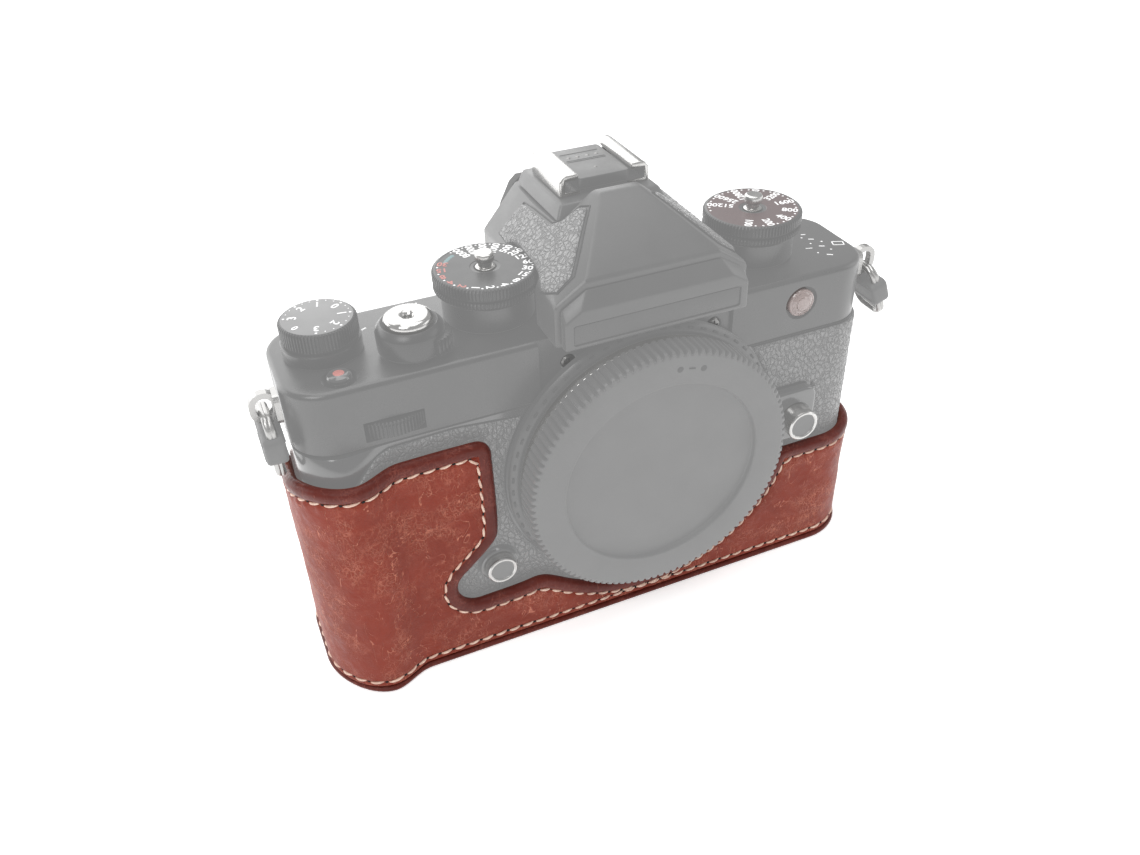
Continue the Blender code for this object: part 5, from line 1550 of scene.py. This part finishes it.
def build_exposure_dial(inks):
    x, y, radius = EV_DIAL
    low = COVER_TOP + SEAM
    profile = [
        (0, low), (radius + 0.1, low), (radius + 0.3, low + 0.2), (radius + 0.3, low + 2.7),
        (radius + 0.1, low + 3.0),
        (radius - 0.5, low + 3.1), (radius - 0.5, low + 3.5), (radius - 0.15, low + 3.6, 0.2),
        (radius, low + 3.9, 0.4),
        (radius, EV_DIAL_TOP - 0.6, 0.4), (radius - 0.25, EV_DIAL_TOP - 0.25, 0.2),
        (radius - 0.7, EV_DIAL_TOP - 0.03),
        (radius - 0.95, EV_DIAL_TOP), (0, EV_DIAL_TOP)]
    made = lathe("exposure_dial_knurled", profile, (x, y, 0), [LOOKS["knurl"], LOOKS["ev_face"]], teeth=70,
                 sharp=24,
                 face_look=lambda ring: 1 if ring >= 11 else 0)
    settle(made, "exposure_dial", "black_metal", "exposure_dial")
    top = EV_DIAL_TOP + 0.02
    marks, points = [], []
    for text, degrees in (("3", 164), ("2", 119), ("1", 77), ("0", 31), ("1", -10), ("2", -56), ("3", -103)):
        centre, out = round_the_dial(EV_DIAL, top, degrees, 4.9)
        marks.append((text, 1.9, centre, Vector((out.y, -out.x, 0)), out, 0))
    for degrees in (164, 119, 77, 31, -10, -56, -103):
        points.append((degrees, 6.7, 0.26, 0))
    for start, end in ((164, 119), (119, 77), (77, 31), (31, -10), (-10, -56), (-56, -103)):
        for k in (1, 2):
            points.append((start + (end - start) * k / 3, 6.6, 0.15, 0))
    centre, out = round_the_dial(EV_DIAL, top, -151, 5.6)
    marks.append(("0", 1.5, centre, Vector((out.y, -out.x, 0)), out, 0))
    lettering("exposure_dial_numerals", marks, inks, "exposure_dial", "black_metal")
    dots("exposure_dial_dots", EV_DIAL, top, points, inks, "exposure_dial", "black_metal")


def build_cover_marks():
    """White index lines and dots painted on the cover beside the dials."""
    top = COVER_TOP + 0.02
    shapes = []
    bars = [((57.0, -4.3), (58.6, -4.8), 0.16), ((-47.2, 5.9), (-48.4, 5.3), 0.22),
            ((60.4, -0.4), (61.6, -1.0), 0.2),
            ((60.6, -4.6), (61.8, -5.2), 0.2), ((59.7, -9.0), (60.9, -9.8), 0.2),
            ((60.2, 2.4), (61.2, 2.0), 0.2)]
    for first, second, half in bars:
        shapes.append(flat_bar(first, second, half, top))
    box = [(64.6, -4.0), (67.0, -5.0), (66.4, -6.6), (64.0, -5.6)]
    for first, second in zip(box, box[1:] + box[:1]):
        shapes.append(flat_bar(first, second, 0.14, top))
    for x, y in ((59.4, 0.9), (59.6, -2.6), (58.4, -7.4), (62.6, -2.8), (62.2, -7.2)):
        shapes.append((*disc((x, y, top - 0.02), (0, 0, 1), 0.26, 0.03, 16), 0))
    settle(gather("cover_marks", shapes, [LOOKS["white"]]), ROOT, "black_metal")


def flat_bar(first, second, half, top):
    """A thin painted line between two points on the cover."""
    a, b = Vector((*first, top)), Vector((*second, top))
    along = (b - a).normalized()
    side = Vector((-along.y, along.x, 0)) * half
    down = Vector((0, 0, -0.05))
    verts = [a - side, b - side, b + side, a + side]
    verts += [v + down for v in verts]
    faces = [(0, 1, 2, 3), (7, 6, 5, 4), (0, 4, 5, 1), (1, 5, 6, 2), (2, 6, 7, 3), (3, 7, 4, 0)]
    return verts, faces, 0


# ---------------------------------------------------------------- buttons and wheels


def build_release():
    x, y, radius = SHUTTER_BUTTON
    threads = []
    for k in range(8):
        threads += [(1.12, SHUTTER_BUTTON_TOP - 0.75 - 0.2 * k), (0.98, SHUTTER_BUTTON_TOP - 0.85 - 0.2 * k)]
    button = lathe("shutter_button_cap",
                   [(0, COVER_TOP - 3), (3.6, COVER_TOP - 3), (3.6, POWER_LEVER_TOP - 1.2),
                    (radius - 0.2, POWER_LEVER_TOP - 0.9), (radius, POWER_LEVER_TOP - 0.6),
                    (radius, SHUTTER_BUTTON_TOP - 1.0), (radius - 0.18, SHUTTER_BUTTON_TOP - 0.62),
                    (radius - 0.6, SHUTTER_BUTTON_TOP - 0.28), (radius - 1.4, SHUTTER_BUTTON_TOP - 0.04),
                    (radius - 2.0, SHUTTER_BUTTON_TOP), (2.1, SHUTTER_BUTTON_TOP - 0.12),
                    (1.5, SHUTTER_BUTTON_TOP - 0.34), (1.25, SHUTTER_BUTTON_TOP - 0.5), *threads,
                    (0, SHUTTER_BUTTON_TOP - 2.5)],
                   (x, y, 0), LOOKS["chrome"], steps=96, sharp=50)
    settle(button, "shutter_button", "bright_metal", "shutter_button")

    low, outer = COVER_TOP + SEAM, POWER_LEVER_RADIUS
    ring = lathe("power_ring",
                 [(4.7, low), (outer - 0.7, low), (outer - 0.4, low + 0.2), (outer - 0.35, low + 0.8),
                  (outer - 0.05, low + 1.1), (outer, low + 1.3), (outer, POWER_LEVER_TOP - 1.6),
                  (outer - 0.2, POWER_LEVER_TOP - 1.1), (outer - 0.9, POWER_LEVER_TOP - 0.3),
                  (outer - 1.25, POWER_LEVER_TOP - 0.05), (5.7, POWER_LEVER_TOP - 0.08),
                  (5.5, POWER_LEVER_TOP - 0.3),
                  (5.5, POWER_LEVER_TOP - 3.2), (4.7, POWER_LEVER_TOP - 3.2)],
                 (x, y, 0), [LOOKS["knurl"]], steps=128, closed=True)
    settle(ring, "power_lever", "black_metal", "power_lever")
    shapes = []
    ridges = 9
    for k in range(ridges):
        angle = math.radians(-58 + 52 * k / (ridges - 1))
        ahead = Vector((math.cos(angle), math.sin(angle), 0))
        across = Vector((-ahead.y, ahead.x, 0))
        reach = 8.15 + 0.6 * math.sin(math.pi * k / (ridges - 1))
        section = [(outer - 1.0, -0.42), (reach - 0.2, -0.42), (reach, -0.2), (reach, 0.2),
                   (reach - 0.2, 0.42),
                   (outer - 1.0, 0.42)]
        rows = [[Vector((x, y, z)) + ahead * (out - pull) + across * side for out, side in section]
                for z, pull in ((low + 1.0, 0.25), (low + 1.25, 0.0), (POWER_LEVER_TOP - 2.55, 0.0),
                                (POWER_LEVER_TOP - 2.3, 0.25))]
        ridge = loft("ridge", rows, None)
        shapes.append(taken(ridge))
    settle(gather("power_lever_ridges", shapes, [LOOKS["knurl"]]), "power_lever", "black_metal")
    shapes = [flat_bar((x + 3.0, y + 5.35), (x + 3.5, y + 6.2), 0.18, POWER_LEVER_TOP + 0.0)]
    settle(gather("power_lever_mark", shapes, [LOOKS["white"]]), "power_lever", "black_metal")


def build_small_controls():
    x, y, radius = MOVIE_BUTTON
    top = COVER_TOP + 1.4
    button = lathe("movie_button_cap",
                   [(0, COVER_TOP - 3.5), (1.2, COVER_TOP - 3.5), (1.2, COVER_TOP - 0.25),
                    (radius - 0.2, COVER_TOP - 0.2),
                    (radius, COVER_TOP), (radius, COVER_TOP + 0.6), (radius - 0.25, COVER_TOP + 1.0),
                    (radius - 0.7, COVER_TOP + 1.25), (1.25, top - 0.05), (1.2, top - 0.14), (0, top - 0.14)],
                   (x, y, 0), [LOOKS["gloss"]], steps=64)
    settle(button, "movie_button", "black_metal", "movie_button")
    shapes = [(*disc((x, y, top - 0.14), (0, 0, 1), 1.15, 0.14, 32), 0)]
    settle(gather("movie_button_dot", shapes, [LOOKS["red"]]), "movie_button", "black_metal")

    for name, (x, y, radius) in (("front_command_wheel", FRONT_WHEEL), ("rear_command_wheel", REAR_WHEEL)):
        wheel = lathe(f"{name}_knurled",
                      [(0, WHEEL_LOW), (radius - 0.9, WHEEL_LOW), (radius - 0.25, WHEEL_LOW + 0.25, 0.25),
                       (radius, WHEEL_LOW + 0.6, 0.5), (radius, WHEEL_HIGH - 0.6, 0.5),
                       (radius - 0.25, WHEEL_HIGH - 0.25, 0.25), (radius - 0.9, WHEEL_HIGH), (0, WHEEL_HIGH)],
                      (x, y, 0), LOOKS["knurl"], teeth=72, sharp=24)
        settle(wheel, name, "black_metal", name)

    for name, (x, z, radius, face), reach in (("lens_release_button", RELEASE_BUTTON, 0.35),
                                              ("function_button", FUNCTION_BUTTON, 0.35)):
        top = -face
        button = lathe(f"{name}_cap",
                       [(0, 9.0), (radius, 9.0), (radius, top - 0.55), (radius - 0.1, top - 0.2),
                        (radius - 0.32, top), (radius - 0.75, top), (radius - 0.95, top - 0.18),
                        (radius - 1.0, top - reach), (radius - 1.3, top - reach - 0.05), (0, top - reach)],
                       (x, 0, z), [LOOKS["chrome"], LOOKS["cap"]], "front", steps=96,
                       face_look=lambda ring: 1 if ring >= 7 else 0)
        settle(button, name, "bright_metal", name)

    x, z, radius, face = FUNCTION_BUTTON
    collar = lathe("function_collar_dome",
                   [(radius + 0.3, -FRONT + SEAM), (radius + 1.35, -FRONT + SEAM),
                    (radius + 1.3, -FRONT + 0.9),
                    (radius + 1.15, -FRONT + 1.5), (radius + 0.85, -FRONT + 2.0),
                    (radius + 0.5, -FRONT + 2.2),
                    (radius + 0.3, -FRONT + 2.1)],
                   (x, 0, z), LOOKS["gloss"], "front", steps=96, closed=True)
    settle(collar, ROOT, "black_metal", "function_collar")

    x, z, radius, face = RELEASE_BUTTON
    housing = plate("release_button_housing", rounded_box(LENS_X + 33.4, x + 5.8, 35.4, 50.2, 3.0, 8),
                    -FRONT + SEAM,
                    18.9, LOOKS["gloss"], edge=0.8, steps=5, axis="front")
    clear = lathe("clear", [(0, 0), (radius + 0.3, 0), (radius + 0.3, 30), (0, 30)], (x, 0, z), None, "front",
                  steps=64)
    bezel = lathe("clear", [(0, 0), (BEZEL_RADIUS + 0.5, 0), (BEZEL_RADIUS + 0.5, 30), (0, 30)],
                  (LENS_X, 0, LENS_Z), None, "front", steps=128)
    carve(housing, clear, bezel, smooth_angle=30)
    housing.data.materials.clear()
    housing.data.materials.append(LOOKS["gloss"])
    settle(housing, ROOT, "black_metal", "release_housing")


# ---------------------------------------------------------------- mount and cap


def build_mount():
    centre = (LENS_X, 0, LENS_Z)
    back = -FRONT + SEAM
    bezel = lathe("lens_bezel_ring",
                  [(THROAT + 1.8, back), (BEZEL_RADIUS - 0.2, back), (BEZEL_RADIUS, back + 0.2),
                   (BEZEL_RADIUS, 17.9),
                   (BEZEL_RADIUS - 0.35, 18.35), (BEZEL_RADIUS - 1.3, 18.95), (BEZEL_RADIUS - 1.8, 19.1),
                   (MOUNT_RADIUS + 0.6, 19.1), (MOUNT_RADIUS + 0.4, 18.9), (MOUNT_RADIUS + 0.4, 17.1),
                   (THROAT + 1.8, 17.1)], centre, LOOKS["bezel"], "front", steps=160, closed=True)
    settle(bezel, ROOT, "black_metal", "lens_bezel")
    # Painted shade: short near-black rods on the bezel's chamfer stand for the shade in its notches.
    shapes, count = [], 60
    for number in range(count):
        angle = 2 * math.pi * number / count
        out = Vector((math.cos(angle), 0, math.sin(angle)))
        side = Vector((-out.z, 0, out.x))
        spot = Vector((LENS_X, -18.72, LENS_Z)) + out * (BEZEL_RADIUS - 0.85)
        shapes.append((*tube_path([spot - side * 0.62, spot + side * 0.62], 0.3, 8), 0))
    settle(gather("lens_bezel_notch_shade", shapes, [LOOKS["shade_and_mark_black"]]), ROOT, "black_metal")
    mount = lathe("lens_mount_ring",
                  [(THROAT, 17.4), (MOUNT_RADIUS, 17.4), (MOUNT_RADIUS, 20.3),
                   (MOUNT_RADIUS - 0.3, -MOUNT_FACE),
                   (THROAT + 0.3, -MOUNT_FACE), (THROAT, 20.3)], centre, LOOKS["chrome_satin"], "front",
                  steps=160,
                  closed=True)
    settle(mount, ROOT, "bright_metal", "lens_mount")


def build_cap():
    centre = (LENS_X, 0, LENS_Z)
    face, back = -CAP_FACE, -CAP_BACK
    edge, recess, floor = CAP_RADIUS, CAP_RECESS_RADIUS, -CAP_FACE - CAP_RECESS
    profile = [
        (0, back + 2.0), (CAP_SPIGOT_RADIUS - 1.6, back + 2.0), (CAP_SPIGOT_RADIUS - 1.6, -CAP_SPIGOT_BACK),
        (CAP_SPIGOT_RADIUS, -CAP_SPIGOT_BACK), (CAP_SPIGOT_RADIUS, back + 0.6), (edge - 1.5, back + 0.6),
        (edge - 1.5, back), (edge - 0.9, back), (edge - 0.2, back + 0.15, 0.7), (edge, back + 0.5, 0.9),
        (edge, face - 0.9, 0.9), (edge - 0.12, face - 0.55, 0.85), (edge - 0.35, face - 0.25, 0.75),
        (edge - 0.75, face - 0.1, 0.45), (edge - 1.3, face - 0.03), (edge - 1.6, face),
        (recess + 0.55, face), (recess + 0.25, face - 0.08), (recess + 0.05, face - 0.3),
        (recess - 0.15, floor + 0.25),
        (recess - 0.35, floor + 0.05), (recess - 0.7, floor), (recess - 2.0, floor), (0, floor)]
    cap = lathe("body_cap_moulded", profile, centre, [LOOKS["cap"]], "front", teeth=112, sharp=26,
                wave=(0, 0, 0, 1, 1))
    settle(cap, "body_cap", "dark_plastic", "body_cap")
    shapes = []
    for degrees, kind in ((84, "dot"), (78, "dash"), (72, "dot")):
        angle = math.radians(degrees)
        out = Vector((math.cos(angle), 0, math.sin(angle)))
        spot = Vector((LENS_X, -face - 0.01, LENS_Z)) + out * 28.0
        if kind == "dot":
            shapes.append((*disc(spot, (0, -1, 0), 0.75, 0.03, 24), 0))
        else:
            side = Vector((-out.z, 0, out.x))
            shapes.append((*tube_path([spot - side * 0.7, spot + side * 0.7], 0.2, 8), 0))
    settle(gather("body_cap_marks", shapes, [LOOKS["shade_and_mark_black"]]), "body_cap", "dark_plastic")


# ---------------------------------------------------------------- strap rings


def build_rings():
    pivot_z, reach, drop, wire = 73.85, 4.6, 13.6, 0.72
    for name, side, lean in (("left", -1, 0.0), ("right", 1, math.radians(-20))):
        soften_cad(f"strap_lug_{name}", 0.35, 3)
        loop = rounded_box(-reach, reach, -drop, 0, 2.6, 8)
        turns = 2
        path = []
        total = turns * len(loop)
        for i in range(total + 1):
            y, z = loop[i % len(loop)]
            path.append((-0.76 + 1.52 * i / total, y, z))
        turn = Matrix.Translation(Vector((side * 72.0, -7.2, pivot_z))) @ Matrix.Rotation(lean, 4, "Y")
        verts, faces = tube_path(path, wire, 12)
        ring = gather(f"split_ring_{name}", [([turn @ v for v in verts], faces, 0)], [LOOKS["lug_metal"]], 60)
        settle(ring, f"strap_ring_{name}", "bright_metal", f"strap_ring_{name}")
        guard = plate("guard", rounded_box(-6.4, 6.4, -9.6, -3.2, 1.6, 6), -2.2, 2.2, None, edge=0.8, steps=4,
                      axis="side")
        shapes = [([turn @ (v.co / MM) for v in guard.data.vertices],
                   [tuple(p.vertices) for p in guard.data.polygons], 0)]
        bpy.data.objects.remove(guard, do_unlink=True)
        for face_side in (-1, 1):
            for z in (-4.6, -8.2):
                line = [turn @ Vector((face_side * 2.16, y, z)) for y in (-5.2, 5.2)]
                shapes.append((*tube_path(line, 0.22, 8), 0))
        made = gather(f"ring_guard_{name}_moulded", shapes, [LOOKS["rubber"]], 40)
        settle(made, f"strap_ring_{name}", "rubber", f"ring_guard_{name}")


LOCK_BUTTON, DIRECTION_PAD = (-37.0, 56.0, 2.4), (-45.5, 36.5, 9.0)
SCREEN_LEFT, SCREEN_RIGHT, SCREEN_LOW, SCREEN_HIGH = -22.0, 61.5, 11.5, 62.5
SCREEN_FRONT, SCREEN_BACK = 14.6, 19.6
BACK_SKIN = rounded_box(-57.0, -25.0, 13.0, 64.4, 2.5, 8)
BACK_SKIN_THICKNESS = 0.45
THUMB_REST = rounded_box(-56.0, -47.0, 49.5, 63.4, 3.6, 10)
THUMB_REST_HEIGHT = 2.4


def build_back_skin():
    """Pebbled covering, thumb rest and marks on the back of the body and of the screen."""
    back = -BACK
    skin = plate("back_leatherette", BACK_SKIN, back - BACK_SKIN_THICKNESS, back - 0.02, None,
                 edge=0.2, axis="front")
    wells = []
    for x, z, radius in (LOCK_BUTTON, DIRECTION_PAD):
        wells.append(lathe("well", [(0, 13), (radius + 0.9, 13), (radius + 0.9, 20), (0, 20)], (x, 0, z),
                           None, "back",
                           steps=72))
    carve(skin, *wells, smooth_angle=30)
    skin.data.materials.clear()
    skin.data.materials.append(LOOKS["leatherette"])
    settle(skin, ROOT, "rubber")
    rest = plate("thumb_rest", THUMB_REST, back - THUMB_REST_HEIGHT, back - 0.47,
                 LOOKS["leatherette"], edge=1.6, steps=6, axis="front")
    settle(rest, ROOT, "rubber")

    rims = []
    for x, z, radius in (LOCK_BUTTON, DIRECTION_PAD):
        path = []
        for k in range(96):
            angle = 2 * math.pi * k / 96
            reach = radius + 0.75
            path.append((x + reach * math.cos(angle), -back + 0.32, z + reach * math.sin(angle)))
        rims.append((*tube_path(path, 0.28, 10, cyclic=True), 0))
    settle(gather("back_button_rims", rims, [LOOKS["gloss"]], 40), ROOT, "black_metal")

    inner = plate("screen_rear_panel", rounded_box(SCREEN_LEFT + 3, SCREEN_RIGHT - 3, SCREEN_LOW + 3,
                                                   SCREEN_HIGH - 3,
                                                   1.6, 6), -SCREEN_FRONT + 0.02, -SCREEN_FRONT + 0.3,
                  LOOKS["leatherette"], edge=0.1, axis="front")
    settle(inner, "screen", "rubber")
    # Painted shade: near-black rods stand for the shade in the grooves round the screen and round its bay.
    frame_line = rounded_box(SCREEN_LEFT + 1.6, SCREEN_RIGHT - 1.6, SCREEN_LOW + 1.6, SCREEN_HIGH - 1.6, 1.8,
                             6)
    line = tube_path([(x, SCREEN_BACK - 0.02, z) for x, z in frame_line], 0.12, 8, cyclic=True)
    settle(gather("screen_frame_groove_shade", [(*line, 0)], [LOOKS["shade_and_mark_black"]]), "screen", "black_metal")
    bay_line = rounded_box(SCREEN_LEFT + 2.0, SCREEN_RIGHT - 2.0, SCREEN_LOW + 2.0, SCREEN_HIGH - 2.0, 2.0, 6)
    line = tube_path([(x, -back + 0.02, z) for x, z in bay_line], 0.14, 8, cyclic=True)
    settle(gather("screen_bay_groove_shade", [(*line, 0)], [LOOKS["shade_and_mark_black"]]), ROOT, "black_metal")

    x, z, radius = DIRECTION_PAD
    shapes = []
    for side, rise in ((1, 0), (-1, 0), (0, 1), (0, -1)):
        reach = radius - 2.6
        shapes.append((*disc((x + side * reach, -back + 1.39, z + rise * reach), (0, 1, 0), 0.45, 0.06, 20),
                       0))
    settle(gather("direction_pad_dots", shapes, [LOOKS["white"]]), "direction_pad", "black_metal")


def build_back():
    """Softer edges on the CAD pieces at the back and underneath."""
    for name, width in (("screen_frame", 0.6), ("screen_glass", 0.12), ("direction_pad", 0.25),
                        ("confirm_button", 0.2), ("playback_button", 0.2), ("exposure_lock_button", 0.2),
                        ("eyepiece_frame", 0.3), ("eyecup", 0.8), ("case_screw", 0.25), ("screen_hinge", 0.2),
                        ("hinge_bracket", 0.15), ("tripod_bush", 0.2), ("eyepiece_lens", 0.3)):
        soften_cad(name, width)


# ---------------------------------------------------------------- the rest


FLOOR_REACH, FLOOR_ALBEDO, FLOOR_GLOW = 4000, 0.9, 0.45


def build_stage():
    corners = [(x * FLOOR_REACH, y * FLOOR_REACH, 0) for x, y in ((-1, -1), (1, -1), (1, 1), (-1, 1))]
    floor = mesh_object("studio_floor", corners,
                        [(0, 1, 2, 3)], None)
    look = bpy.data.materials.new("studio_white")
    look.use_nodes = True
    shader = look.node_tree.nodes["Principled BSDF"]
    shader.inputs["Base Color"].default_value = (FLOOR_ALBEDO, FLOOR_ALBEDO, FLOOR_ALBEDO, 1.0)
    shader.inputs["Roughness"].default_value = 0.9
    shader.inputs["Specular IOR Level"].default_value = 0.1
    shader.inputs["Emission Color"].default_value = (1.0, 1.0, 1.0, 1.0)
    shader.inputs["Emission Strength"].default_value = FLOOR_GLOW
    floor.data.materials.clear()
    floor.data.materials.append(look)


def add_light(name, place, target, size, power):
    """A square soft box that faces target; places and sizes in metres, power in watts."""
    lamp = bpy.data.lights.new(name, "AREA")
    lamp.shape = "SQUARE"
    lamp.size = size
    lamp.energy = power
    item = bpy.data.objects.new(name, lamp)
    bpy.context.scene.collection.objects.link(item)
    item.location = place
    item.rotation_euler = (Vector(target) - Vector(place)).to_track_quat("-Z", "Y").to_euler()


# Where the view is taken from: place in millimetres, angles in degrees, lens for a sensor 36 mm wide
CAMERA_PLACE = (-78.0, -181.4, 188.4)
CAMERA_TILT, CAMERA_ROLL, CAMERA_HEADING = 53.46, 1.5, -23.5
CAMERA_LENS, SENSOR_WIDTH = 31.55, 36.0


def build_camera():
    lens = bpy.data.cameras.new("camera_view")
    lens.sensor_width = SENSOR_WIDTH
    lens.lens = CAMERA_LENS
    lens.clip_start = 0.005
    item = bpy.data.objects.new("camera_view", lens)
    bpy.context.scene.collection.objects.link(item)
    item.location = Vector(CAMERA_PLACE) * MM
    item.rotation_euler = [math.radians(turn) for turn in (CAMERA_TILT, CAMERA_ROLL, CAMERA_HEADING)]
    bpy.context.scene.camera = item


# Soft boxes: name, place and side in metres, power in watts
SOFT_BOXES = (
    ("sky_light", (-0.08, 0.85, 0.60), 1.2, 7.5),
    ("top_light", (0.05, 0.10, 1.05), 0.7, 3.2),
    ("left_back_light", (-0.85, 0.75, 0.35), 0.7, 3.2),
    ("key_light", (-0.50, -0.42, 0.85), 0.45, 3.4),
    ("side_light", (0.80, -0.20, 0.40), 0.5, 1.0),
)
LIT_POINT = (0.0, 0.0, 0.05)
AIR_STRENGTH = 0.5


def build_lights():
    scene = bpy.context.scene
    scene.view_settings.view_transform = "Standard"
    world = bpy.data.worlds.new("studio_air")
    world.use_nodes = True
    background = world.node_tree.nodes["Background"]
    background.inputs["Color"].default_value = (1.0, 1.0, 1.0, 1.0)
    background.inputs["Strength"].default_value = AIR_STRENGTH
    scene.world = world
    for name, place, size, power in SOFT_BOXES:
        add_light(name, place, LIT_POINT, size, power)


def paint_cad_nodes():
    looks = {
        "body_casting": "cover", "base_plate": "plastic", "release_housing": "cover",
        "function_collar": "gloss",
        "top_cover": "cover", "viewfinder_housing": "hump", "nose_panel": "hump", "shoe_base": "cover",
        "lens_bezel": "bezel", "eyepiece_frame": "cover", "shutter_dial": "knurl",
        "photo_video_lever": "cover",
        "iso_dial": "knurl", "mode_lever": "cover", "exposure_dial": "knurl", "power_lever": "knurl",
        "movie_button": "gloss", "front_command_wheel": "knurl", "rear_command_wheel": "knurl",
        "leatherette_grip_side": "leatherette", "leatherette_lens_side": "leatherette",
        # The hump's leatherette takes its lighter copy, painted light.
        "hump_leatherette_left": "leatherette_painted_lit", "hump_leatherette_right": "leatherette_painted_lit",
        "battery": "plastic", "playback_button": "plastic", "exposure_lock_button": "plastic",
        "direction_pad": "plastic", "confirm_button": "plastic", "body_cap": "cap", "screen_frame": "plastic",
        "case_screw": "chrome_satin", "tripod_bush": "chrome_satin", "hot_shoe": "chrome_satin",
        "lens_mount": "chrome_satin", "shutter_dial_lock": "chrome", "iso_dial_lock": "chrome",
        "shutter_button": "chrome", "lens_release_button": "chrome", "function_button": "chrome",
        "strap_lug_left": "lug_metal", "strap_lug_right": "lug_metal", "strap_ring_left": "lug_metal",
        "strap_ring_right": "lug_metal", "front_screw_left": "dark_metal", "front_screw_right": "dark_metal",
        "shoe_contact_plate": "cover", "shutter_unit": "dark_metal", "screen_hinge": "dark_metal",
        "hinge_bracket": "dark_metal", "eyecup": "eyecup", "ring_guard_left": "rubber",
        "ring_guard_right": "rubber", "assist_lamp": "lamp", "eyepiece_lens": "eye_glass",
        "screen_glass": "screen", "image_sensor": "sensor", "circuit_board": "board",
    }
    for name, look in looks.items():
        paint(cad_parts[name], LOOKS[look])


def main():
    paint_cad_nodes()
    build_case_shell()
    build_case_base()
    build_body()
    build_leatherette()
    build_cover()
    build_hump()
    build_shoe()
    build_dials()
    build_cover_marks()
    build_release()
    build_small_controls()
    build_mount()
    build_cap()
    build_rings()
    build_back_skin()
    build_back()
    build_stage()
    build_lights()
    build_camera()


main()
